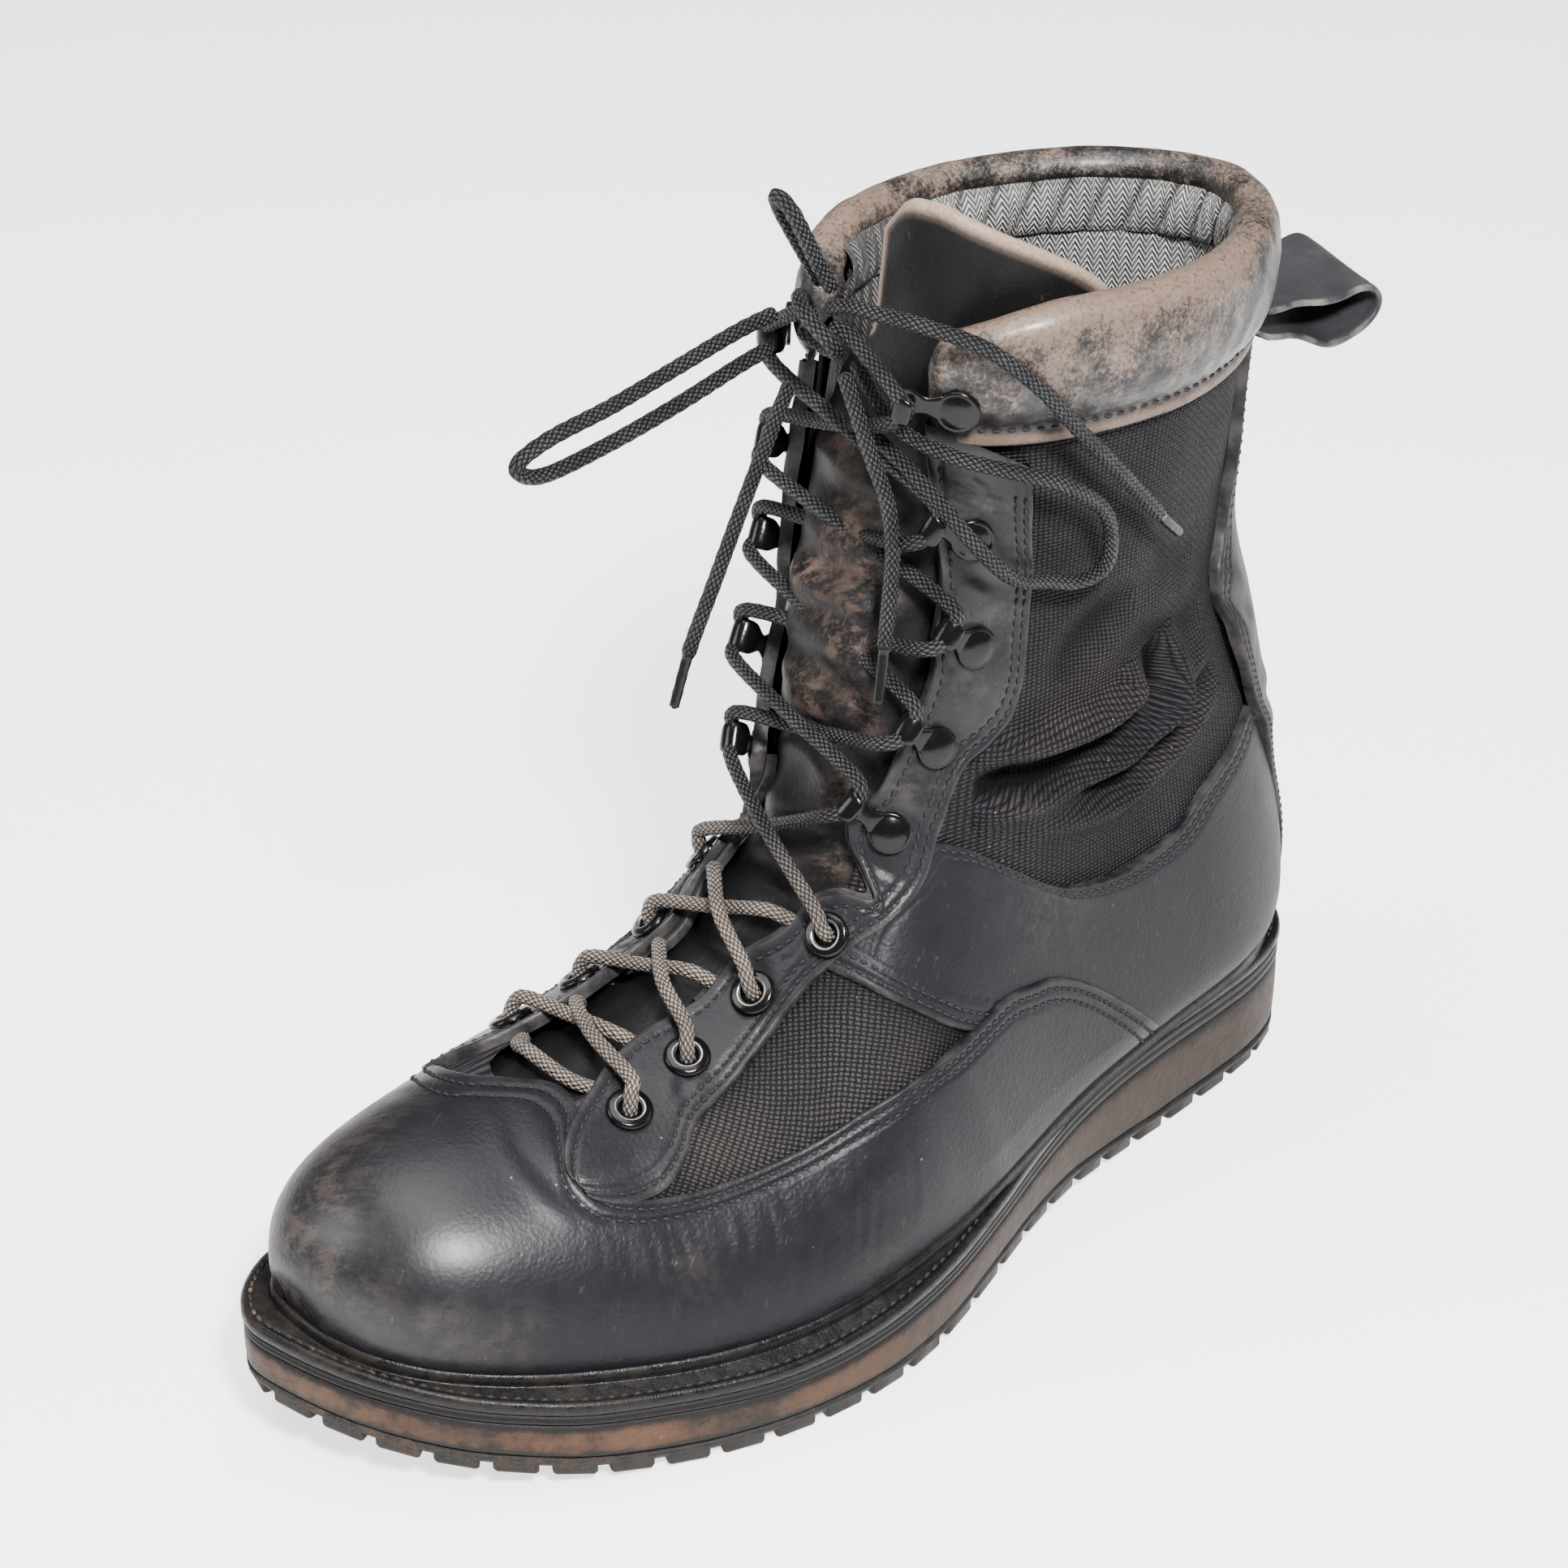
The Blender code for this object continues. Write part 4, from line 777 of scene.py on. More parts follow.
ANKLE_FOLDS = [
    ([(14.75, 104), (14.3, 110), (13.6, 108), (12.7, 97), (11.9, 80), (11.3, 64), (10.9, 54)], 7.4, 3.9, 1),
    ([(14.9, 140), (14.2, 129), (13.2, 117), (12.3, 104), (11.6, 84), (11.1, 70)], 5.2, 4.1, 0.9),
    ([(15.4, 92), (15, 84), (14.1, 78), (13.3, 76)], 1.9, 5, 0.7),
    ([(15.6, 128), (15.3, 118), (15, 106), (14.8, 96)], 1.7, 5.5, 0.6),
    ([(16.5, 118), (16.2, 106), (16.1, 92)], 1.1, 6, 0.6),
    ([(13.7, -112), (12.9, -98), (12, -80), (11.3, -62), (10.9, -52)], 4, 4.8, 0.7),
    ([(14.6, -134), (13.7, -122), (12.6, -106), (11.7, -84)], 2.3, 5.5, 0.6),
    ([(15.2, -96), (14.6, -86), (13.9, -78), (13.2, -72)], 1.6, 5, 0.6),
    ([(15.9, -128), (15.5, -112), (15.3, -98)], 1.3, 6, 0.6)]
s, d = both_sides(4.05, 18.75, 246, 120, 3.0)
points = place(s, d)
folds = furrows(points, ANKLE_FOLDS)
cloth = skin(s, d, -CLOTH_DEPTH + folds + wander(points, 30.0, 3, 0.4))
mesh = grid_mesh("shaft_cloth", cloth, facing(s, d), uv=round_the_leg(cloth))
RUBBED = [(16.0, 60, 22, 0.4), (12.6, 82, 14, 0.3), (14.0, 96, 12, 0.3), (13.0, -80, 16, 0.4)]
layer(mesh, "wear", spots(points, RUBBED) + 0.25 * ramp(folds / 3.0))
# Painted shade in the troughs of the ankle folds.
layer(mesh, "painted_shade", ramp(-folds / 2.8) ** 1.2)
piece("shaft_cloth", mesh, nylon, "upper", "upper")


# ------------------------ Lining
# Light grey ribbed knit, glued inside the shaft and down to the insole. It follows the folds
# of the ankle and shows inside the mouth of the boot.
LINING_DEPTH = 3.7       # how far it lies in from the upper's face
RIB = 3.4                # width of one rib of the knit
LOOP = 1.7               # height of one loop


def knit():
    """Ribs of slanting loops, mirrored from one rib to the next. Painted shade darkens the hollows between
    the loops and the marked creases.
    """
    cloth = Finish("lining_knit", Specular_IOR_Level=0.15, Sheen_Weight=0.1, Sheen_Roughness=0.6)
    mm, flat = cloth.mm(), cloth.cut()
    x, y = cloth.part(flat, 0) / RIB, cloth.part(flat, 1)
    rib = x - x.maths("FLOOR", x)
    lean = x.maths("ABSOLUTE", rib - 0.5) * RIB
    loop = x.maths("SINE", (y + lean * 1.6) * (2 * np.pi / LOOP)) * 0.5 + 0.5
    crown = x.maths("SINE", rib * np.pi)
    height = loop * (0.35 + crown * 0.65)
    soft, broad = cloth.cloud(mm, 0.8, 2.0), cloth.cloud(mm, 16.0, 4.0)
    # Painted shade: darker in the hollows between the loops, near black in the marked creases.
    shade_and_tone = height * (0.5 + soft * 0.6) * (0.35 + broad * 1.1) * (1 - cloth.held("painted_shade") * 0.97)
    cloth.feed("Base Color", cloth.between(shade_and_tone, (0.020, 0.019, 0.018), (0.78, 0.77, 0.73)))
    cloth.feed("Roughness", 0.85 + soft * 0.1)
    cloth.feed("Normal", cloth.bump(height + soft * 0.3, 0.9))
    return cloth


lining_knit = knit()
s, d = both_sides(5.6, 18.75, 200, 90, 7.0)
points = place(s, d)
ruck = np.clip(wander(points, 34.0, 8, 0.9), -1.2, 0.8)
lining = skin(s, d, -LINING_DEPTH + 0.8 * ruck + furrows(points, ANKLE_FOLDS))
mesh = grid_mesh("lining", lining, -facing(s, d), uv=round_the_leg(points))
from_throat = np.abs(d) - np.where(d > 0, by_row(THROAT, s, 1), by_row(THROAT, s, -1))
# Painted shade: near black along the throat's edge, inside the collar's roll.
layer(mesh, "painted_shade", ramp((np.where(d > 0, 26.0, 50.0) - from_throat) / 5.0) * (s > THROAT[0, 0]))
piece("lining", mesh, lining_knit, "insole")


# ------------------------ Quarters
# The heel part of each side is one piece of smooth black leather, over the shaft's cloth. Its
# front edge is a strap from the eyestay to the foxing, and its top edge has two seams.
LEATHER = 1.25           # thickness of the upper's leather
SEAM_PITCH = 2.8         # from one stitch to the next
GROOVE = (0.42, 0.55)    # depth and half width of the groove that a seam is sunk in
RIM = 0.7                # width of the wear at a cut edge
# Cross section of a cut edge: distance from the edge, height as a share of the thickness.
CUT_EDGE = np.array([
    (0, -1.1), (-0.14, 0.2), (0, 0.7), (0.25, 0.92), (0.7, 1), (1.4, 1), (2, 1), (2.5, 1), (3, 1), (4, 1),
    (5, 1), (5.5, 1), (6, 1), (7, 1), (8.5, 1)])
SEAMS = []               # every row of stitches: centres, directions, outward, length, width, tan


class Panel:
    """Leather between two cut lines, each a path of (section, distance). Rows follow the
    lines, and columns go straight from the first to the second. A bevel rounds the first
    edge, or both; grooves are the rows of stitches, as distances in from the first edge."""

    def __init__(self, near, far, step, inner, thick=LEATHER, lift=0.0, both=False, grooves=(2.5,),
                 far_grooves=(), relief=None):
        near, far = np.array(near, float), np.array(far, float)
        self.thick, self.both, self.grooves, self.far_grooves = thick, both, grooves, far_grooves
        self.relief = relief or (lambda s, d: 0.0 * s)
        self.lift = lift if callable(lift) else (lambda s, d: lift + 0.0 * s)
        first = curve(near, np.linspace(0, len(near) - 1, 1500))
        last = curve(far, np.linspace(0, len(far) - 1, 1500))
        first_run, last_run = (run_of(place(line[:, 0], line[:, 1])) for line in (first, last))
        if len(near) == len(far):
            mean = first_run + last_run
            even = np.linspace(0, mean[-1], int(mean[-1] / 2 / step) + 2)
            pair = [along(even, mean, line) for line in (first, last)]
            self.run = np.interp(even, mean, first_run)
        else:
            count = int(max(first_run[-1], last_run[-1]) / step) + 2
            pair = [along(np.linspace(0, run[-1], count), run, line)
                    for line, run in ((first, first_run), (last, last_run))]
            self.run = np.linspace(0, first_run[-1], count)
        self.first, self.last = pair
        probe = np.linspace(0, 1, 25)[:, None, None]
        line = self.first * (1 - probe) + self.last * probe
        self.width = run_of(place(line[..., 0], line[..., 1]))[-1]
        wide = self.width[:, None]
        lead = CUT_EDGE[:, 0] * np.clip(wide / ((3.0 if both else 1.6) * CUT_EDGE[-1, 0]), 0.02, 1)
        bevel, flat = CUT_EDGE[:, 1], np.ones(inner)
        if both:
            middle = lead[:, -1:] + (wide - 2 * lead[:, -1:]) * np.linspace(0, 1, inner + 2)[None, 1:-1]
            self.near_gap = np.concatenate([lead, middle, wide - lead[:, ::-1]], 1)
            self.level = np.concatenate([bevel, flat, bevel[::-1]])
        else:
            middle = lead[:, -1:] + (wide - lead[:, -1:]) * np.linspace(0, 1, inner + 1)[None, 1:]
            self.near_gap = np.concatenate([lead, middle], 1)
            self.level = np.concatenate([bevel, flat])
        self.far_gap = wide - self.near_gap
        self.s, self.d = self.at(self.near_gap)

    def at(self, gap):
        """Section and distance at a gap in from the first edge, for each row."""
        rows = (slice(None), None) if np.ndim(gap) > 1 else slice(None)
        u = gap / np.maximum(self.width, 1e-3)[rows]
        near, far = (line.T[(slice(None), *np.atleast_1d(rows))] for line in (self.first, self.last))
        return near + (far - near) * u

    def heights(self):
        """Height of the face: underside and thickness, less a bell-shaped groove at each seam."""
        h = self.lift(self.s, self.d) + self.thick * self.level[None] + self.relief(self.s, self.d)
        for gap, grooves in ((self.near_gap, self.grooves), (self.far_gap, self.far_grooves)):
            for groove in grooves:
                h = h - GROOVE[0] * bell(gap - groove, GROOVE[1])
        return h

    def mesh(self, name, scuffs=()):
        """Mesh with the wear of its edges and its scuffed places."""
        points = skin(self.s, self.d, self.heights())
        mesh = grid_mesh(name, points, facing(self.s, self.d),
                         uv=(self.near_gap, np.repeat(self.run[:, None], self.near_gap.shape[1], 1)))
        gap = np.minimum(self.near_gap, self.far_gap) if self.both else self.near_gap
        layer(mesh, "rim", np.exp(-np.maximum(gap, 0) / RIM))
        layer(mesh, "scuff", spots(points, scuffs))
        return mesh

    def sew(self, gap, pitch=SEAM_PITCH, part=(0.0, 1.0), from_far=False):
        """Row of stitches at a gap in from an edge, over part of its length. Each stitch is a
        short raised loop of thread in line with the seam."""
        s, d = self.at(self.width - gap if from_far else gap + 0.0 * self.width)
        h = self.lift(s, d) + self.thick + self.relief(s, d) - 0.18
        sew_line(skin(s, d, h), facing(s, d), pitch, part=part)


def sew_line(line, out, pitch=SEAM_PITCH, long=2.0, wide=0.85, tan=0.0, part=(0.0, 1.0)):
    """Stitches along a line of points with their outward directions."""
    run = run_of(line)
    spot = np.arange(part[0] * run[-1] + pitch / 2, part[1] * run[-1] - pitch / 2, pitch)
    way = np.gradient(line, axis=0) / np.maximum(np.gradient(run), 1e-6)[:, None]
    SEAMS.append((*(along(spot, run, field) for field in (line, way, out)), long, wide, tan))


def leather(name, deep, bloom, raw=(0.050, 0.045, 0.042), rubbed=(0.075, 0.064, 0.057), gloss=0.34,
            raw_share=0.5, patchy=True):
    """Smooth full-grain leather: fine pores, a bloom of dust and wax, fine scratches, scuffs
    and paler raw edges."""
    hide = Finish(name, Specular_IOR_Level=0.10, Coat_Roughness=0.33)
    mm = hide.mm()
    broad, cloudy = hide.cloud(mm, 34.0, 3.0), hide.cloud(mm, 7.0, 4.0)
    fine = hide.cloud(mm, 0.9, 3.0)
    pores = hide.cells(mm, 1.25)
    long = hide.cloud(hide.stretched(mm, (22.0, 0.8, 3.0), 31), 1.0, 2.0).step(0.65, 0.73)
    short = hide.cloud(hide.stretched(mm, (0.7, 9.0, 1.5), -24), 1.0, 2.0).step(0.70, 0.76)
    marks = (long + short) * cloudy.step(0.42, 0.62)
    brush = hide.cloud(hide.stretched(mm, (1.0, 5.0, 2.0), 38), 1.6, 4.0, 0.7)
    rub = (cloudy * 0.45 + brush * 0.55).step(0.44, 0.60) * 0.75 + fine.step(0.45, 0.7) * 0.3
    scuff = hide.held("scuff") * rub
    rim = hide.held("rim") * raw_share * (cloudy.step(0.35, 0.7) if patchy else 0.35 + fine * 1.0)
    dust = hide.cells(mm, 13.0).step(0.030, 0.016)
    colour = hide.between(broad * 0.55 + cloudy * 0.5, deep, bloom)
    colour = hide.between(marks * (hide.held("scuff") * 0.8 + 0.15), colour, (0.080, 0.072, 0.066))
    colour = hide.between(scuff, colour, rubbed)
    colour = hide.between(rim, colour, raw)
    hide.feed("Base Color", hide.between(dust * 0.6, colour, (0.16, 0.15, 0.14)))
    hide.feed("Coat Weight", hide.held("shine") * 0.45)
    hide.feed("Roughness", gloss + cloudy * 0.16 + scuff * 0.25 + fine * 0.06)
    hide.feed("Normal", hide.bump(pores * 0.4 + fine * 0.6 + cloudy * 0.8 - marks * 0.5, 0.15))
    return hide


smooth_leather = leather("smooth_leather", (0.0032, 0.0032, 0.0039), (0.0092, 0.0091, 0.0112))


def quarter_relief(side):
    """Soft waves over the heel part, and the crease below the strap."""
    def relief(s, d):
        points = place(s, d)
        crease = [(10.3, side * 47), (10.6, side * 62), (10.8, side * 80)]
        return wander(points, 55.0, 5, 0.35) + furrows(points, [(crease, 0.5, 6.0, 0.4)])
    return relief


STRAP_FRONT = {
    1: [
        (8.38, 78.5), (8.2, 73.2), (7.98, 66.1), (7.77, 58.6), (7.56, 52.1), (7.36, 45.6), (7.19, 39.4),
        (7.06, 34.5), (6.98, 30.5)],
    -1: [
        (8.15, -70.5), (7.95, -65), (7.8, -60), (7.65, -55), (7.53, -50), (7.4, -45), (7.26, -39),
        (7.1, -33), (6.98, -27)]}


def behind_strap(s, d):
    """How far behind the strap's front edge, in sections."""
    lines = [np.array(line)[::-1] for line in STRAP_FRONT.values()]
    return s - np.where(d > 0, *(np.interp(np.abs(d), np.abs(line[:, 1]), line[:, 0]) for line in lines))


# Rear end of the foxing on the outer and the inner side: distance, section.
FOXING_END = [np.array(line) for line in (
    [(62, 7.0), (70.6, 7.94), (78, 8.8), (88, 9.25), (96, 9.48), (107, 9.66), (125, 9.79), (154, 9.89)],
    [(55, 7.0), (62.2, 7.71), (66, 8.48), (76, 9.07), (84, 9.3), (104, 9.34), (119, 9.39), (139, 9.57)])]


def quarter_lift(s, d):
    """The leather dips under the foxing's rear end and under the strap's folded front."""
    lines = (by_row(line, np.abs(d)) for line in FOXING_END)
    foxing = ramp((np.where(d > 0, *lines) - s) / 0.12)
    strap = 0.7 * ramp((0.45 - behind_strap(s, d)) / 0.15) * (np.abs(d) < 80)
    return -0.9 * np.maximum(foxing, strap)


def strap_lift(s, d):
    """The folded front stands proud and sinks into the quarter behind its seams."""
    back = ramp((behind_strap(s, d) - 0.34) / 0.28)
    return 0.25 - 1.3 * back ** 1.5 - 0.7 * ramp((np.abs(d) - np.where(d > 0, 73.5, 66.0)) / 3.0)


QUARTER_TOP = {
    1: [
        (7.14, 36.5), (7.9, 31.5), (8.6, 32.5), (9.2, 36), (9.72, 39.5), (9.89, 44.1), (10.07, 52.3),
        (10.25, 70.8), (10.38, 85.9), (10.66, 100.4), (11.2, 118.1), (12.02, 135.1), (12.83, 144.7),
        (13.6, 155.4), (14.33, 164), (14.75, 176)],
    -1: [
        (7.1, -32.5), (7.9, -28), (8.6, -29), (9, -31), (9.3, -33), (9.52, -37.5), (9.6, -50), (9.7, -62),
        (10.07, -84.5), (10.29, -91.9), (11.06, -113.1), (11.7, -123), (12.33, -131.9), (13.2, -142),
        (14.51, -156.1), (14.9, -166)]}
QUARTER_LOW = {
    1: [(8.24, 74.5), (8.7, 84), (8.95, 93), (9.15, 104), (9.32, 118), (9.44, 135)],
    -1: [(8, -66.5), (8.5, -76), (8.75, -84), (8.9, -94), (8.95, -104), (9, -116)]}
QUARTER_SEAMS = (3.0, 6.2)                   # distances in from the edge
STRAP_SEAMS = (2.3, 4.8)
STRAP_DEPTH = 0.62       # width of the strap, in sections
for side, word in SIDES:
    along_foot = np.array([9.7, 10.3, 10.9, 11.4, 11.7, HEEL, 12.6, 13.2, 13.9, 14.5, 14.95])
    low = QUARTER_LOW[side] + [(s, side * (float(reach(s, side)) - 0.05)) for s in along_foot]
    quarter = Panel(QUARTER_TOP[side], low, 1.0, 46, thick=1.4, lift=quarter_lift, grooves=QUARTER_SEAMS,
                    relief=quarter_relief(side))
    mesh = quarter.mesh("quarter_" + word, [(10.6, side * 90, 16, 0.25), (12.0, side * 190, 20, 0.3)])
    piece("quarter_" + word, mesh, smooth_leather, "upper")
    for gap in QUARTER_SEAMS:
        quarter.sew(gap, part=(0.2, 0.985))
    rear = [(s + STRAP_DEPTH, d - side * 1.5) for s, d in STRAP_FRONT[side]]
    strap = Panel(STRAP_FRONT[side], rear, 0.8, 8, thick=1.5, lift=strap_lift, grooves=STRAP_SEAMS,
                  relief=quarter_relief(side))
    piece("strap_" + word, strap.mesh("strap_" + word), smooth_leather, "upper")
    for gap in STRAP_SEAMS:
        strap.sew(gap, part=(0.06, 0.97))


# ------------------------ Woven window
# A coarser basket weave of two-ply yarn fills the triangle between eyestay, strap and foxing.
# It is sewn under their edges and cut on the slant, so that its yarns run across the opening.
coarse_nylon = woven("coarse_nylon", (0.0010, 0.0010, 0.0011), (0.064, 0.059, 0.058), 1.7, 0.95)
WINDOW = {
    1: ([(4.1, 28), (5.1, 31), (5.6, 33.5), (6.4, 28.5), (7.3, 29.5), (8.2, 33)],
        [(4.1, 46), (5.0, 55), (5.7, 61), (6.5, 67), (7.4, 73), (8.4, 79)]),
    -1: ([(4.1, -24), (5.1, -28), (5.6, -29.5), (6.4, -25), (7.3, -26), (8.0, -29)],
         [(4.1, -40), (5.0, -47), (5.7, -50), (6.5, -56), (7.4, -64), (8.2, -70)])}
SLANT = 0.707            # sine and cosine of 45 degrees
for side, word in SIDES:
    near, far = (curve(np.array(line, float), np.linspace(0, 5, 90))[:, None] for line in WINDOW[side])
    share = np.linspace(0, 1, 60)[None, :, None]
    s, d = np.moveaxis(near * (1 - share) + far * share, -1, 0)
    points = skin(s, d, -0.15 + wander(place(s, d), 24.0, 9, 0.3))
    across, down = run_of(points.swapaxes(0, 1)).T, run_of(points)
    slanted = ((down + across) * SLANT, (across - down) * SLANT)
    mesh = grid_mesh("window_" + word, points, facing(s, d), uv=slanted)
    layer(mesh, "wear", spots(points, [(5.2, side * 48, 12, 0.5), (7.4, side * 66, 8, 0.4)]))
    inside = np.minimum(across, across[:, -1:] - across)
    # Painted shade: darker along the edges sewn under the leather, and towards the strap.
    layer(mesh, "painted_shade", ramp(np.exp(-inside / 2.2) + ramp((s - 6.4) / 1.6) * 0.55))
    piece("window_" + word, mesh, coarse_nylon, "upper")


# ------------------------ Eyestays
# A leather strip down each side of the throat, thicker than the rest and shinier. It is
# scalloped between the eyelets, notched below the hooks, and seamed near both edges.
STAY = 1.8               # thickness
STAY_SEAM = 3.1          # from the front edge
STAY_BACK_SEAMS = {2.4: 0.04, 5.2: 0.12}     # from the back edge: share of its length where each starts
stay_leather = leather("stay_leather", (0.0034, 0.0034, 0.0040), (0.0130, 0.0127, 0.0148), gloss=0.25,
                       raw_share=0.6)
STAY_FRONT = [
    (4.22, 36.5), (4.18, 31), (4.28, 25.5), (4.46, 20.5), (4.7, 16.5), (4.9, 13.8), (5.26, 11.5),
    (5.76, 13.4), (6.26, 12.1), (6.94, 17.9), (7.62, 19.6), (8.05, 24.5), (8.32, 30.8), (8.6, 25),
    (8.89, 19.9), (9.39, 19.1), (10.07, 24.7), (11.47, 32.5), (12.33, 34.9), (12.9, 33.1), (13.97, 31.9),
    (15.15, 27.5), (16.46, 23.2), (17, 21.6), (17.55, 20.8)]
STAY_BACK = [
    (4.23, 38), (4.27, 40), (4.38, 42.8), (4.56, 45.4), (4.8, 46.2), (5.03, 43.2), (5.22, 38), (5.6, 35.2),
    (6.1, 32), (6.6, 31), (7.12, 32.6), (7.7, 34.4), (8.16, 36.6), (8.6, 38.2), (9, 39.6), (9.5, 41),
    (10.1, 42.4), (11.11, 47.7), (11.74, 56), (12.45, 61.6), (13.5, 60), (14.75, 55.6), (16, 50.6),
    (16.7, 48.2), (17.3, 45.3)]
STAY_FRONT = {1: STAY_FRONT, -1: [(s, -d * 0.93 - 0.3) for s, d in STAY_FRONT]}
STAY_BACK = {1: STAY_BACK, -1: [(s, 3.5 - d) for s, d in STAY_BACK]}


def stay_wrinkles(side):
    """Short creases across the strip between its fittings, some of them long and soft."""
    rng = np.random.default_rng(23 + side)
    table = []
    for s in np.arange(5.0, 17.0, 0.42):
        near, far = (np.interp(s, *np.array(line[side])[6:].T) for line in (STAY_FRONT, STAY_BACK))
        start, end = sorted(rng.uniform(0.05, 0.9, 2))
        lean = rng.uniform(-0.25, 0.25)
        places = zip((s, s + lean * 0.6, s + lean), (start, (start + end) / 2, end))
        table.append(([(at, near + (far - near) * share) for at, share in places],
                      rng.uniform(0.12, 0.34), rng.uniform(0.9, 1.8), 0.7))
    return table


STAY_WRINKLES = {side: stay_wrinkles(side) for side in (1, -1)}


def stay_relief(side):
    """Edges curl up from the tongue; hollows lie round each fitting."""
    def relief(s, d):
        points = place(s, d)
        seats = [(row[0], side * row[side], 7.0, -0.25) for row in EYELETS + HOOKS[:4]]
        curl = ramp((by_row(THROAT, s, side) + 7 - np.abs(d)) / 7) ** 2
        return (spots(points, seats) + wander(points, 17.0, 21, 0.32) + furrows(points, STAY_WRINKLES[side])
                + curl * (0.9 if side > 0 else 1.7))
    return relief


for side, word in SIDES:
    stay = Panel(STAY_FRONT[side], STAY_BACK[side], 0.9, 12, thick=STAY, lift=0.45, both=True,
                 grooves=(STAY_SEAM,), far_grooves=STAY_BACK_SEAMS, relief=stay_relief(side))
    mesh = stay.mesh("stay_" + word, [
        (14.0, side * 50, 9, 0.3), (12.4, side * 47, 8, 0.2), (16.2, side * 36, 9, 0.3),
        (10.2, side * 30, 7, 0.3), (5.2, side * 36, 6, 0.2)])
    shine = [(16.9, side * 33, 9, 0.6), (15.0, side * 44, 9, 0.4), (12.2, side * 50, 9, 0.4)]
    layer(mesh, "shine", 0.12 + spots(place(stay.s, stay.d), shine))
    piece("stay_" + word, mesh, stay_leather, "eyestay", "eyestay_" + word)
    stay.sew(STAY_SEAM, pitch=2.9, part=(0.03, 0.97))
    for gap, start in STAY_BACK_SEAMS.items():
        stay.sew(gap, part=(start, 0.97), from_far=True)
    under, behind = ([(s, d + side * out) for s, d in STAY_FRONT[side] if 5.7 < s < 9.5]
                     for out in (-2.4, 9.0))
    facing_strip = Panel(under, behind, 0.9, 6, lift=-0.75, grooves=())
    mesh = facing_strip.mesh("facing_" + word, [(8.3, side * 26, 6, 0.5)])
    piece("facing_" + word, mesh, stay_leather, "upper")


# ------------------------ Vamp and foxing
# One piece of smooth black leather is the toe and runs back along both sides as the foxing.
# Its cut edge has two seams, lies over the eyestay's foot and rises in an arch on each side.
# The toe is scuffed brown and the ball of the foot has fine creases below the seams.
VAMP_EDGE = [
    (9.89, 153.5), (9.79, 125.3), (9.66, 107.3), (9.48, 95.8), (9.25, 88.1), (8.8, 77.9), (7.94, 70.6),
    (6.98, 65.7), (6.44, 61.6), (5.85, 58), (5.31, 53.7), (4.85, 49), (4.58, 45), (4.4, 40.5), (4.31, 34.7),
    (4.31, 29.4), (4.44, 22.7), (4.55, 17.2), (4.53, 9.7), (4.33, 2.3), (4.14, -6), (4.1, -14), (4.14, -20),
    (4.17, -24), (4.24, -28), (4.31, -31.3), (4.53, -39.1), (5.12, -42.7), (5.71, -45.8), (6.76, -52.7),
    (7.71, -62.2), (8.48, -66.2), (9.07, -75.6), (9.3, -84.2), (9.34, -103.8), (9.39, -119.5),
    (9.57, -139.2)]
STAY_FOOT = [
    (4.62, 37, 9.5, 1.5), (5, 42, 7, 1), (4.45, 31, 7, 1), (4.6, -33, 9.5, 1.5), (5, -38, 7, 1),
    (4.45, -28, 7, 1)]


def low_edge(count):
    """Section and distance along the upper's lower edge from the outer side's rear end, round
    the toe, to the inner side's."""
    s = np.concatenate([np.linspace(9.89, 1.0, 120), 1 - np.linspace(0, 1, 31)[1:] ** 0.7])
    back = np.concatenate([np.linspace(0, 1, 31)[:-1] ** 1.4, np.linspace(1.0, 9.57, 120)])
    outer = np.stack([s, reach(s, 1) - 0.05], -1)
    inner = np.stack([back, -reach(back, -1) + 0.05], -1)
    outer[-1] = inner[0] = (0.0, 0.0)
    line = np.concatenate([outer, inner[1:]])
    run = run_of(place(line[:, 0], line[:, 1]))
    return along(np.linspace(0, run[-1], count), run, line)


def fan_of_creases():
    """Fine creases that run down from the foxing's seams over the ball of the foot."""
    rng = np.random.default_rng(14)
    table = []
    edge = np.array(VAMP_EDGE, float)
    for side, low, high in ((1, 7.2, 14.6), (-1, 26.0, 31.0)):
        for k in np.arange(low, high, 0.36):
            s, d = curve(edge, k + rng.uniform(-0.1, 0.1))
            lean, long = rng.uniform(-0.10, 0.10), rng.uniform(14, 30)
            places = ((-0.02, 6.5), (lean * 0.5 - 0.05, 6.5 + long / 2), (lean - 0.16, 6.5 + long))
            table.append(([(s + up, d + side * out) for up, out in places],
                          rng.uniform(0.05, 0.16), rng.uniform(0.8, 1.5), 0.5))
    return table


CREASES = fan_of_creases() + [
    ([(4.15, 8), (4.0, 20), (4.05, 32), (4.2, 42)], 0.35, 2.4, 0.6),
    ([(3.7, -20), (3.75, -5), (3.72, 12)], 0.22, 3.0, 0.5),
    ([(5.6, 78), (6.2, 84), (6.8, 90)], 0.4, 5.0, 0.4),
]


def vamp_relief(s, d):
    """The creases, broad gentle waves, and a slight fullness."""
    points = place(s, d)
    return furrows(points, CREASES) + wander(points, 60.0, 31, 0.30) + 0.1


def vamp_lift(s, d):
    """Underside of the leather: on the cloth, up over the eyestay's foot, and up over the
    heel part, except near the welt."""
    behind = ramp((s - 7.2) / 0.6)
    low = ramp(1 - (np.where(d > 0, reach(s, 1), reach(s, -1)) - np.abs(d)) / 10.0)
    over = 1.35 * behind ** 2 * (3 - 2 * behind) * (1 - 0.7 * low)
    return -0.35 + spots(place(s, d), STAY_FOOT) + over


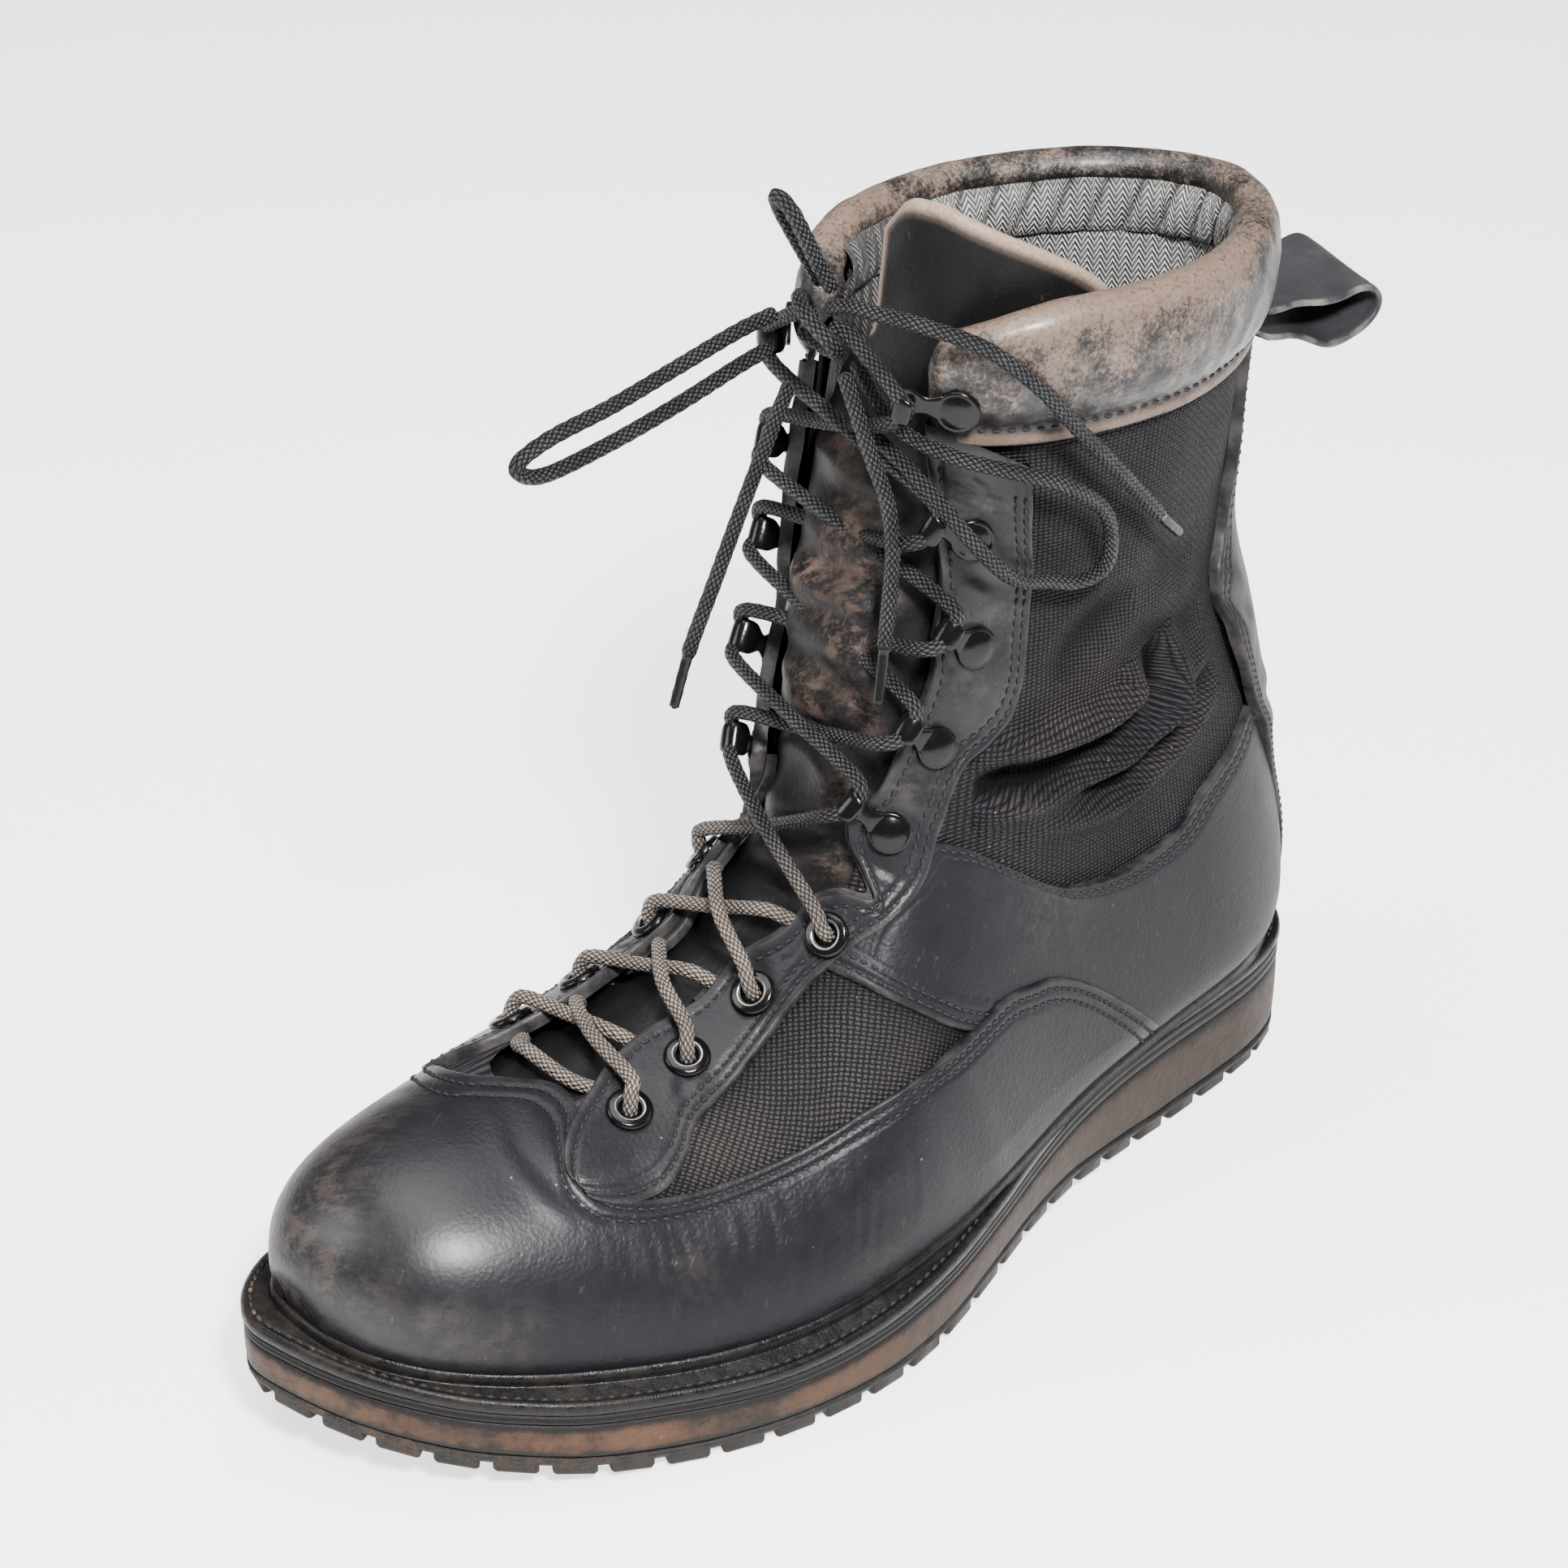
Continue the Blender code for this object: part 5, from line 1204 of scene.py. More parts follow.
VAMP_SEAMS = (2.7, 5.9)
vamp = Panel(VAMP_EDGE, low_edge(160), 1.0, 54, lift=vamp_lift, grooves=VAMP_SEAMS, relief=vamp_relief)
TOE_SCUFFS = [
    (2.6, -26, 15, 0.5), (2.2, -34, 10, 0.6), (3.3, -16, 12, 0.35), (1.6, 22, 10, 0.35), (1, 4, 12, 0.45),
    (0.7, -14, 10, 0.5), (2.6, 44, 8, 0.3), (3.3, 58, 8, 0.3), (6.3, 96, 7, 0.15), (4.8, 66, 7, 0.15),
    (2.2, 2, 12, 0.35), (3, -44, 9, 0.6), (5, -64, 9, 0.4), (7, -80, 9, 0.35)]
vamp_leather = leather("vamp_leather", (0.0034, 0.0034, 0.0041), (0.0098, 0.0097, 0.0119),
                       rubbed=(0.062, 0.046, 0.035), gloss=0.26, raw_share=0.4)
vamp_mesh = vamp.mesh("vamp", TOE_SCUFFS)
VAMP_SHINE = [(2.3, 25, 23, 0.85), (3.9, 36, 9, 0.5), (1.7, 2, 14, 0.3)]
layer(vamp_mesh, "shine", spots(place(vamp.s, vamp.d), VAMP_SHINE))
piece("vamp", vamp_mesh, vamp_leather, "upper")
for gap in VAMP_SEAMS:
    vamp.sew(gap, part=(0.005, 0.995))


# ------------------------ Backstay
# A black leather strip over the back seam. It widens over the ankle, where it puffs out over
# padding, and its raised edges are sewn down twice.
# Half width of the strip by section.
BACKSTAY_HALF = np.array([
    (12.2, 17), (12.6, 20), (13.3, 26), (14.1, 34), (14.6, 42.5), (15.05, 48), (15.5, 49), (16.1, 46),
    (16.8, 31.5), (17.8, 22), (18.5, 20), (18.9, 20)])
BACKSTAY = 1.5           # thickness
BACKSTAY_SEAMS = (2.4, 5.4)


def backstay():
    """Grid of the strip: across is the distance from the seam, with the edges rounded, and up
    is the section; three soft bulges lie over the ankle."""
    s = np.linspace(12.2, 18.72, 190)
    half = smooth(BACKSTAY_HALF, s)
    edge = CUT_EDGE[:, 0]
    gap = np.concatenate([np.repeat(edge[None], len(s), 0),
                          edge[-1] + (half[:, None] - edge[-1]) * np.linspace(0, 1, 26)[None, 1:]], 1)
    level = np.concatenate([CUT_EDGE[:, 1], np.ones(25)])
    sheets = []
    for side in (1, -1):
        d = side * (reach(s, side)[:, None] - (half[:, None] - gap))
        rows = s[:, None] + 0 * d
        points = place(rows, d)
        puffs = [(15.1, side * 152, 17, 2.6), (14.2, side * 176, 15, 1.6), (16.2, side * 148, 11, 1.4)]
        folds = [([(15.8, side * 132), (15.75, side * 146), (15.6, side * 160)], 1.2, 3.2, 0.5),
                 ([(14.55, side * 168), (14.6, side * 182), (14.7, side * 192)], 0.7, 3.0, 0.5)]
        h = (0.55 + BACKSTAY * level[None] + spots(points, puffs) + furrows(points, folds)
             + wander(points, 24.0, 41, 0.3))
        for groove in BACKSTAY_SEAMS:
            h = h - 0.3 * bell(gap - groove, 0.5)
        sheets.append((rows, d, h, gap))
        for groove in BACKSTAY_SEAMS:
            line_d = side * (reach(s, side) - half + groove)
            line_h = np.array([np.interp(groove, gap[i], h[i]) for i in range(len(s))])
            sew_line(skin(s, line_d, line_h), facing(s, line_d), part=(0.0, 0.97))
    rows, d, h, gap = (np.concatenate([one, two[:, -2::-1]], 1) for one, two in zip(*sheets))
    points = skin(rows, d, h)
    mesh = grid_mesh("back_strip", points, facing(rows, d), uv=(gap, points[..., 2]))
    layer(mesh, "rim", np.exp(-np.maximum(gap, 0) / RIM))
    layer(mesh, "scuff", spots(points, [(15.2, 160, 14, 0.5), (13.0, 220, 14, 0.5), (15.2, -160, 14, 0.4)]))
    return mesh


piece("back_strip", backstay(), smooth_leather, "backstay", "backstay")


# ------------------------ Tongue
# Soft padded black leather behind the laces. It bulges between the crossings, where it is
# rubbed brown, and its rolled pale top edge curls up inside the mouth and down to the outer side.
# Columns: section, half width, depth below the upper's face, slip of the middle outwards.
TONGUE_ROWS = np.array([
    (3.95, 12, 3.3, 0), (4.3, 18, 3.3, 0), (5, 26, 3.9, 0), (6.5, 27, 3.9, 0), (8, 33, 3.3, 0),
    (10, 40, 3.3, 0), (12, 50, 3.3, 0), (14, 49, 3.3, 0), (16, 44, 3.8, 1.5), (17, 41, 5.8, 8),
    (17.8, 39, 7.2, 17.5), (19, 36.5, 7.6, 31), (19.8, 35.5, 7.6, 35.5), (20.2, 35.5, 7.6, 37)])
# Top edge: share of the way across from the inner side, -1 to 1, and section.
TONGUE_TOP = np.array([
    (-1, 19.55), (-0.85, 19.85), (-0.6, 19.95), (-0.2, 19.82), (0.1, 19.65), (0.4, 19.42), (0.7, 19.12),
    (0.9, 18.86), (1, 18.62)])
TONGUE_BULGES = [
    (5, 3, 7, 1.6), (5.8, -3, 8, 2), (6.7, 2, 9, 2.2), (7.8, 6, 10, 2.4), (8.7, -10, 9, 1.6),
    (9.3, 8, 9, 2.2), (10.6, -4, 10, 2.6), (11.7, 12, 10, 2.2), (12.6, -8, 11, 2.4), (14, 6, 11, 2),
    (15.5, -4, 12, 1.8), (16.8, 10, 12, 1.5)]
TONGUE_CREASES = [
    ([(6.3, -14), (6.25, 0), (6.4, 14)], 0.9, 2.6, 0.6),
    ([(7.3, -18), (7.25, 0), (7.5, 18)], 1, 3, 0.6),
    ([(8.3, -24), (8.25, -4), (8.7, 22)], 1.2, 3, 0.6),
    ([(9.9, -26), (10.1, 0), (9.7, 26)], 1.3, 3.2, 0.6),
    ([(11.3, -28), (11.2, 4), (10.9, 28)], 1.2, 3.2, 0.6),
    ([(12, 24), (12.2, 4), (12.1, -12)], 0.8, 2.6, 0.6),
    ([(13.4, -26), (13.1, 0), (13.6, 28)], 1.2, 3.4, 0.6),
    ([(15, -24), (14.8, 4), (14.6, 26)], 0.9, 3.4, 0.6),
    ([(16.4, -24), (16.2, 0), (16, 24)], 0.7, 3.4, 0.6)]
TONGUE_SCUFFS = [
    (10.6, -2, 8, 0.8), (11.9, 10, 8, 0.7), (12.7, -6, 8, 0.7), (9.4, 12, 6, 0.7), (8.3, 16, 5, 0.6),
    (14.2, 4, 8, 0.5), (11, 18, 6, 0.7), (15.8, -4, 8, 0.4), (13.4, 14, 7, 0.6)]
tongue_leather = leather("tongue_leather", (0.0015, 0.0015, 0.0017), (0.0060, 0.0058, 0.0063),
                         raw=(0.205, 0.150, 0.115), rubbed=(0.100, 0.066, 0.050), gloss=0.33, raw_share=1.0,
                         patchy=False)


TONGUE_FOOT = 3.95       # section of its lower end
TONGUE_THICK = 2.7
PER_SECTION = 22.0       # height of the boot's top from one section to the next


def tongue():
    """Grid over section and share across, closed round both edges: a front face with bulges,
    a back face behind, and a half-round top."""
    across = np.linspace(-1, 1, 91)
    climb = np.linspace(0, 1, 230)[:, None]
    top = smooth(TONGUE_TOP, across)
    s = TONGUE_FOOT + (top[None] - TONGUE_FOOT) * climb
    spread = (1 + 0.16 * ramp((s - 17.2) / 1.8) * (across[None] > 0)
              - 0.24 * bell(s - 18.1, 0.7) * (across[None] < 0))
    d = across[None] * spread * smooth(TONGUE_ROWS, s, 1) + smooth(TONGUE_ROWS, s, 3)
    points = place(s, d)
    depth = -smooth(TONGUE_ROWS, s, 2)
    relief = spots(points, TONGUE_BULGES) + furrows(points, TONGUE_CREASES) + wander(points, 20.0, 51, 0.5)
    calm = np.clip((19.0 - s) / 2.0, 0.15, 1.0) * ramp((1.02 - np.abs(across[None])) / 0.25)
    below_top = (top[None] - s) * PER_SECTION
    roll = 0.25 * bell(below_top, 2.0)
    front = skin(s, d, depth + relief * calm + roll)
    back = skin(s, d, depth - TONGUE_THICK - roll)
    arc = np.linspace(0, np.pi, 8)[1:-1, None, None]
    middle, half = 0.5 * (front[-1] + back[-1]), 0.5 * (front[-1] - back[-1])
    lip = (middle + half * np.cos(arc)
           + np.array([0, 0, 1.0]) * np.sin(arc) * np.linalg.norm(half, axis=-1)[None, :, None])
    sheet = np.concatenate([front, lip, back[::-1]])
    out = facing(s, d)
    outward = np.concatenate([out, np.broadcast_to([0, 0, 1.0], lip.shape), -out[::-1]])
    mesh = grid_mesh("tongue_leather", sheet, outward)
    from_top = np.concatenate([below_top, np.zeros((6, len(across))), below_top[::-1]])
    every_s = np.concatenate([s, np.repeat(top[None], 6, 0), s[::-1]])
    from_side = (1 + across[None]) * 36.0 + 30.0 * ramp(18.2 - every_s)
    layer(mesh, "rim", bell(np.maximum(np.minimum(from_top - 0.4, from_side - 0.5), 0), 0.9))
    layer(mesh, "scuff", spots(sheet, TONGUE_SCUFFS) * (every_s < 18))
    return mesh


tongue_piece = piece("tongue_leather", tongue(), tongue_leather, "tongue", "tongue")


# ------------------------ Collar
# A padded roll of soft leather wrapped over the top edge and sewn through below. Its black
# dye has worn to tan on top and in front, and its raw lower edge is pale.
COLLAR_MIDDLE = 232.0    # height towards which the roll closes at its ends
COLLAR_SEAM = 218.9      # height of the seam below the roll
END_DROP = 9.0           # how far the roll's top slopes down at the throat
PUCKER = 7.3             # from one pucker above the seam to the next
# Profile of the roll from its lower edge over the top: height, distance out.
COLLAR = np.array([
    (214.6, 0.9), (215.4, 2.1), (216.6, 2.3), (217.6, 2.3), (218.8, 1.95), (220, 2.3), (222, 3.9),
    (225.5, 5.2), (230, 5.9), (234.5, 6), (238.5, 5.7), (242.5, 5.1), (245.5, 4.2), (247.8, 2.8),
    (249, 0.8), (249.3, -1.4), (248.6, -3.6), (247, -5), (245.2, -5.6), (243.8, -5.6), (243, -4.8),
    (242.8, -3.4), (242.6, -2), (241.9, -0.6), (238, 0), (225, 0), (216, 0)])


def at_height(z, share, side):
    """Section and distance of the places at heights z and shares of the way from the throat's
    edge to the back seam."""
    tries = np.linspace(13.0, 20.0, 141)[:, None]
    gap = by_row(THROAT, tries, side)
    d = gap + (reach(tries, side) - gap) * share[None, :]
    height = place(tries, side * d)[..., 2]
    every = range(len(share))
    return (np.array([np.interp(z, height[:, k], tries[:, 0]) for k in every]),
            side * np.array([np.interp(z, height[:, k], d[:, k]) for k in every]))


def round_the_mouth(z, share):
    """The same from the outer edge of the throat round the back to the inner."""
    sides = zip(at_height(z, share, 1), at_height(z, share, -1))
    return (np.concatenate([one, two[-2::-1]]) for one, two in sides)


def collar_finish():
    """Soft leather whose black top coat has worn off to tan in patches, with a fine grain."""
    hide = Finish("collar_leather", Specular_IOR_Level=0.24, Coat_Roughness=0.28)
    mm = hide.mm()
    broad, cloudy = hide.cloud(mm, 30.0, 3.0), hide.cloud(mm, 6.0, 5.0, 0.72)
    fine = hide.cloud(mm, 0.9, 4.0, 0.7)
    streak = hide.cloud(hide.stretched(mm, (1.0, 1.0, 3.2)), 9.0, 4.0, 0.65)
    grain = hide.cells(mm, 1.5)
    worn = hide.held("worn") * 1.0 + broad * 0.8 + streak * 0.9 + cloudy * 1.2 + fine * 1.4 - 2.50
    tan = hide.between(cloudy * 0.6 + fine * 0.5, (0.030, 0.0200, 0.0145), (0.150, 0.103, 0.076))
    black = hide.between(cloudy, (0.0018, 0.0017, 0.0018), (0.009, 0.0082, 0.0080))
    grey = hide.between(worn.step(0.00, 0.30), black, (0.034, 0.0265, 0.022))
    colour = hide.between(worn.step(0.20, 0.50), grey, tan)
    specks = hide.cloud(mm, 1.1, 4.0, 0.75).step(0.50, 0.60) * cloudy.step(0.38, 0.62)
    colour = hide.between(specks * 0.7, colour, (0.012, 0.0098, 0.0088))
    raw = hide.held("rim") * cloudy.step(0.15, 0.5)
    pale = hide.between(fine, (0.05, 0.034, 0.025), (0.15, 0.100, 0.074))
    hide.feed("Base Color", hide.between(raw * 0.85, colour, pale))
    hide.feed("Roughness", 0.24 + cloudy * 0.18 + raw * 0.3)
    hide.feed("Coat Weight", cloudy.step(0.35, 0.7) * 0.4)
    hide.feed("Normal", hide.bump(grain * 0.35 + fine * 0.75 + cloudy * 1.2, 0.26))
    return hide


def collar():
    """Profile of height and outward distance carried round the top, from the outer edge of the
    throat to the inner. Puckers run up from the lower seam and small wrinkles cross the roll."""
    even = np.linspace(0, 1, 170)
    profile = curve(COLLAR, np.linspace(0, len(COLLAR) - 1, 76))
    columns = []
    for height in profile[:, 0]:
        s, d = round_the_mouth(min(height, 249.5), even)
        columns.append((place(s, d), facing(s, d)))
    base, out = (np.stack([c[k] for c in columns], 1) for k in (0, 1))
    run = run_of(base[:, 20])[:, None]
    z, off = profile[:, 0][None], profile[:, 1][None]
    shown = ramp((off - 1.2) / 2.0)
    pucker = -0.55 * np.abs(np.sin(run * np.pi / PUCKER)) * bell(z - 221.0, 3.5) * shown
    wrinkle = 0.55 * wander(base, 9.0, 61) + 0.45 * wander(base * (1, 1, 0.35), 7.0, 62)
    wrinkle *= ramp(off + 7)
    swell = wander(base, 42.0, 63, 0.6)
    reach_in = np.minimum(run, run[-1] - run)
    full = domed(reach_in / 4.0)
    spread = (off + pucker + (wrinkle * 0.35 + swell) * ramp((z - 219) / 6)) * full + (1 - full) * 0.2
    points = base + out * spread[..., None]
    points[..., 2] += z - base[..., 2]
    points[..., 2] = COLLAR_MIDDLE + (points[..., 2] - COLLAR_MIDDLE) * (0.15 + 0.85 * full)
    share = np.concatenate([even, even[-2::-1]])[:, None]
    near_end = ramp(1 - share / 0.24) ** 1.6
    points[..., 2] -= END_DROP * near_end * ramp((points[..., 2] - 222.0) / 27.0)
    points = points[:, :-1]
    mesh = grid_mesh("collar_roll", points, ring=True, outward=points - points.mean(1, keepdims=True))
    height = points[..., 2]
    bearing = np.arctan2(points[..., 1], points[..., 0] - 45.0)
    worn = (0.38 + 0.42 * ramp((height - 240) / 8) + 0.25 * np.cos(bearing - 0.70)
            - 0.30 * ramp((232 - height) / 10) - 0.65 * bell(bearing - 0.12, 0.16) * (height < 243))
    layer(mesh, "worn", worn)
    layer(mesh, "rim", bell(height - 216.4, 1.7) * (spread[:, :-1] > 0.5))
    seam = int(np.argmin(np.abs(profile[:20, 0] - COLLAR_SEAM)))
    sew_line(points[:, seam], out[:, seam], pitch=3.4, long=2.3, part=(0.01, 0.99))
    return mesh


collar_piece = piece("collar_roll", collar(), collar_finish(), "collar", "collar")


# ------------------------ Gathered band
# A band of the lining's knit lies just under the roll, inside the mouth. Its threads draw it
# into small pillows, with narrow creases between them painted dark as shade.
PILLOW = 10.5            # width of one pillow
# Profile of the band from the top down: height, distance out.
BAND = np.array([
    (243.4, -3.4), (243.7, -5), (242.2, -6.1), (239, -6.9), (235, -6.9), (231.6, -6.2), (229.4, -5),
    (228.4, -3.6), (228.2, -2.9)])


def lining_band():
    """Profile of height and depth carried round inside the mouth; the gathers are rounded
    ridges with narrow creases between, and lean a little."""
    even = np.linspace(0.10, 1, 330)
    profile = curve(BAND, np.linspace(0, len(BAND) - 1, 30))
    sheet, creases = [], []
    for z, depth in profile:
        s, d = round_the_mouth(z, even)
        base, out = place(s, d), facing(s, d)
        run = run_of(base)
        lean = run + 0.35 * (z - 236) + 2.2 * np.sin(run / 23.0)
        ridge = np.abs(np.sin(lean * np.pi / PILLOW))
        pillow = ridge ** 0.45 * (1 + 0.35 * np.sin(run / 9.0))
        creases.append((1 - ridge) ** 4)
        full = np.sin(np.pi * ramp((z - 227.6) / 16.6)) ** 0.8
        inward = depth + 2.2 * full - 2.4 * pillow * full + wander(base, 12.0, 71, 0.3) * full
        sheet.append(base + out * np.minimum(inward, -2.4)[:, None])
        sheet[-1][:, 2] += z - base[:, 2]
    points = np.stack(sheet, 1)
    flow = np.repeat(run_of(points[:, 15])[:, None], points.shape[1], 1)
    mesh = grid_mesh("lining_band", points, outward=-facing(s, d)[:, None], uv=(flow, points[..., 2]))
    high = points[..., 2]
    share = np.concatenate([even, even[-2::-1]])[:, None]
    # Painted shade: dark in the creases between the pillows, along the lower edge, under the roll and at
    # the front ends.
    layer(mesh, "painted_shade", ramp(np.stack(creases, 1) + 0.7 * bell(high - 228.5, 1.2)
                             + 0.6 * ramp((high - 241.0) / 2.5) + ramp((0.36 - share) / 0.03)))
    return mesh


piece("lining_band", lining_band(), lining_knit, "insole")


# ------------------------ Pull loop
# A black leather strap of 26 mm, folded into a loop that is pressed flat, with its ends sewn
# under the collar behind. It is sewn along both edges, and its cut edges are pale.
# Middle of the strap, from its upper end back round the fold to its lower end.
LOOP_PATH = np.array([
    (-21, 0, 213.2), (-34, 0, 212.4), (-46, 0, 213), (-54.5, 0, 213.4), (-59.8, 0, 211.2),
    (-61.6, 0, 207.4), (-59, 0, 203.6), (-53, 0, 201.6), (-44, 0, 201), (-34, 0, 203.4), (-21.6, 0, 206.4)])
LOOP_HALF = 12.9         # half width of the strap
LOOP_THICK = 2.2


def squared(wave, power):
    """A sine or cosine with its size raised to a power: below 1, a circle turns boxy."""
    return np.sign(wave) * np.abs(wave) ** power


def pull_loop():
    """Strip carried along the loop: flat faces, rounded edges, a slight twist and a dished
    middle, closed at both ends."""
    path = evenly(LOOP_PATH, 0.9)
    run = run_of(path)
    way = normed(np.gradient(path, axis=0))
    out = np.stack([-way[:, 2], 0 * run, way[:, 0]], -1)
    turn = circle(56)
    share = squared(np.cos(turn), 0.45)
    thick = 0.5 * LOOP_THICK * squared(np.sin(turn), 0.35)
    thick -= np.sign(thick) * 0.22 * bell(LOOP_HALF * (np.abs(share) - 1) + 2.6, 0.5)
    points = path[:, None] + out[:, None] * thick[None][..., None]
    points[..., 1] += LOOP_HALF * share
    behind = -path[:, 0, None]
    points[..., 2] -= share * 3.4 * ramp((behind - 30.0) / 26.0)
    wave = 0.9 * np.sin(1.0 - behind / 5.0) * ramp((behind - 26) / 10.0)
    points[..., 2] += wave * (share > 0) * share ** 2
    points[0], points[-1] = points[0].mean(0), points[-1].mean(0)
    mesh = grid_mesh("loop_strap", points, ring=True, outward=points - path[:, None])
    layer(mesh, "rim", np.repeat(ramp((np.abs(share) - 0.93) / 0.04)[None] * 0.9, len(path), 0))
    layer(mesh, "scuff", np.repeat(bell(run - run[-1] * 0.45, 6.0)[:, None] * 0.3, len(turn), 1))
    return mesh


# Painted sheen: this bloom colour is several times lighter than the other leathers', standing in for the
# strap's sheen.
strap_leather = leather("strap_leather", (0.0040, 0.0040, 0.0046), (0.0300, 0.0295, 0.0325),
                        raw=(0.15, 0.13, 0.12), gloss=0.24, raw_share=0.7)
piece("loop_strap", pull_loop(), strap_leather, "pull_loop", "pull_loop")


# ------------------------ Insole
# A grey insole board covered with felted fabric lies on the bottom of the boot, glued down,
# its edge against the lower edge of the upper.
# Outline of the sole: along the foot, then the outer and the inner edge across it.
OUTLINE = np.array([
    (-41.5, -1, -1), (-40.5, 11, -12), (-37, 19, -20), (-29, 26, -26.5), (-16, 31, -30.5), (0, 34, -32.5),
    (20, 37, -33), (40, 40.5, -32.5), (60, 45.5, -32), (80, 52.5, -33), (100, 60.5, -36.5),
    (120, 67.5, -42.5), (140, 71.5, -47.5), (158, 72, -50), (175, 70, -50), (190, 66, -48.5),
    (205, 61, -46), (220, 55.5, -42.5), (232, 49, -38.5), (244, 41, -34.5), (254, 31.5, -29),
    (262, 21, -22.5), (268.5, 8, -14.5), (272, -4.5, -4.5)])


def sole_loop(steps):
    """Closed outline of the sole: a Catmull-Rom curve through the table, outer side first."""
    around = np.vstack([OUTLINE[:, [0, 1]], OUTLINE[-2:0:-1, [0, 2]]])
    count = len(around)
    at = np.arange(count * steps) / steps
    low = at.astype(int)
    return cubic(*(around[(low + k) % count] for k in (-1, 0, 1, 2)), (at - low)[:, None])


EVENED = 6               # rounds of evening out the upper's edge


def upper_loop(plan):
    """Lower edge of the upper seen from above. Each side is cut at the same shares of its
    length as the sole outline's side, from heel to toe. Each round of evening out gives a
    point half of itself and a quarter of both its neighbours."""
    s = np.concatenate([np.linspace(0.0, 1.0, 60) ** 1.5, np.linspace(1.0, 11.0, 240)[1:],
                        np.linspace(11.0, HEEL, 240)[1:]])
    half = len(plan) // 2
    sides = []
    for side, part in ((1, plan[:half + 1]), (-1, np.vstack([plan[half:], plan[:1]])[::-1])):
        edge = place(s, side * reach(s, side))[::-1, :2]
        edge[-1, 1] = 0.5 * (place(0.0, 1e-3)[1] + place(0.0, -1e-3)[1])
        edge_run, run = run_of(edge), run_of(part)
        share = run / run[-1] * edge_run[-1]
        sides.append(along(share, edge_run, edge))
    loop = np.vstack([sides[0], sides[1][::-1][1:-1]])
    for _ in range(EVENED):
        loop = 0.25 * np.roll(loop, 1, 0) + 0.5 * loop + 0.25 * np.roll(loop, -1, 0)
    return loop


def widen(loop, amount):
    """Loop moved out by an amount at right angles to itself."""
    way = np.roll(loop, -1, 0) - np.roll(loop, 1, 0)
    return loop + normed(np.stack([-way[:, 1], way[:, 0]], 1)) * amount


def rims(loop, low, rows):
    """Loops of a solid: each row widens the plan by its first number, and lies above the
    height low by its second."""
    return [(widen(loop, out), low + up) for out, up in rows]


def stack(name, loops):
    """Closed solid through loops of (plan, height), bottom first; a disc closes each end."""
    rings = np.stack([np.column_stack([plan, height]) for plan, height in loops])
    middle = [np.column_stack([ring[:, 0], 0 * ring[:, 0] + 0.5 * (ring[:, 1] + ring[::-1, 1]), ring[:, 2]])
              for ring in (rings[0], rings[-1])]
    rings = np.concatenate([middle[0][None], rings, middle[1][None]])
    centre = rings.mean((0, 1))
    return grid_mesh(name, rings, ring=True, outward=rings - centre)


PLAN = sole_loop(12)
EDGE = upper_loop(PLAN)
LOW = smooth(FEATHER, PLAN[:, 0])
EDGE_LOW = smooth(FEATHER, EDGE[:, 0])
felt = Finish("insole_felt", Specular_IOR_Level=0.2, Sheen_Weight=0.2)
felt_noise = felt.cloud(felt.mm(), 0.7, 3.0) * 0.6 + felt.cloud(felt.mm(), 14.0, 3.0) * 0.5
felt.feed("Base Color", felt.between(felt_noise, (0.03, 0.028, 0.026), (0.14, 0.13, 0.12)))
felt.feed("Roughness", 0.9)
felt.feed("Normal", felt.bump(felt_noise, 0.3))
inside = widen(EDGE, -3.3)
inside_low = smooth(FEATHER, inside[:, 0])
piece("insole_board", stack("insole_board", rims(inside, inside_low, (
    (0, 0), (0.2, 0.6), (0.2, 2.8), (-0.5, 3.4), (-12, 3.2)))), felt, "insole", "insole")


# ------------------------ Welt
# A black rubber rand and welt run all round. The welt is sewn to the upper through its ledge
# with thick waxed thread, tan where the wax has worn off near the toe.
WELT_LEDGE = 3.6         # how far its ledge lies below the upper's lower edge
WELT_FOOT = 7.0          # how far its underside does


def rubber(name, dark, light, gloss, dirt, dirt_share, size=16.0, toe_dirt=0.9):
    """Rubber with cloudy wear, fine scratches along it and dirt in patches, more at the toe."""
    made = Finish(name, Specular_IOR_Level=0.14)
    mm = made.mm()
    broad, cloudy = made.cloud(mm, size, 4.0), made.cloud(mm, 3.4, 4.0)
    fine = made.cloud(mm, 0.6, 3.0)
    patches = (broad * 0.6 + cloudy * 0.5).step(0.48, 0.72)
    colour = made.between(cloudy, dark, light)
    specks = fine.step(0.58, 0.72) * 0.5 + 0.5
    toe = ((made.part(mm, 0) - 185.0) / 60.0).step(0.0, 1.0) * toe_dirt
    amount = patches * specks * (toe + dirt_share) + toe * fine.step(0.48, 0.62) * 0.5
    made.feed("Base Color", made.between(amount, colour, dirt))
    made.feed("Roughness", gloss + patches * 0.25 + toe * 0.2 + fine * 0.1)
    made.feed("Normal", made.bump(cloudy * 0.8 + fine * 0.5, 0.25))
    return made


welt_rubber = rubber("welt_rubber", (0.0016, 0.0016, 0.0017), (0.0055, 0.0054, 0.0056), 0.20,
                     (0.030, 0.019, 0.012), 0.16, toe_dirt=0.2)
welt = stack("welt_strip", rims(PLAN, LOW - WELT_FOOT, ((-1.0, 0), (0.1, 0.2), (0.4, 0.9)))
             + rims(PLAN, LOW - WELT_LEDGE, ((0.35, -1.4), (0.1, -0.5), (-0.5, 0), (-1.3, 0.05),
                                             (-1.8, -0.4), (-2.3, -0.45), (-2.8, -0.05)))
             + rims(EDGE, EDGE_LOW, ((2.3, 0.2 - WELT_LEDGE), (1.9, -2.9), (1.95, -2.2), (1.6, -1.2),
                                     (1.1, -0.5), (0.4, -0.2), (-0.3, -0.6))))
piece("welt_strip", welt, welt_rubber, "welt", "welt")
welt_seam = np.column_stack([widen(PLAN, -2.05), LOW - WELT_LEDGE - 0.25])
welt_seam = np.vstack([welt_seam, welt_seam[:1]])
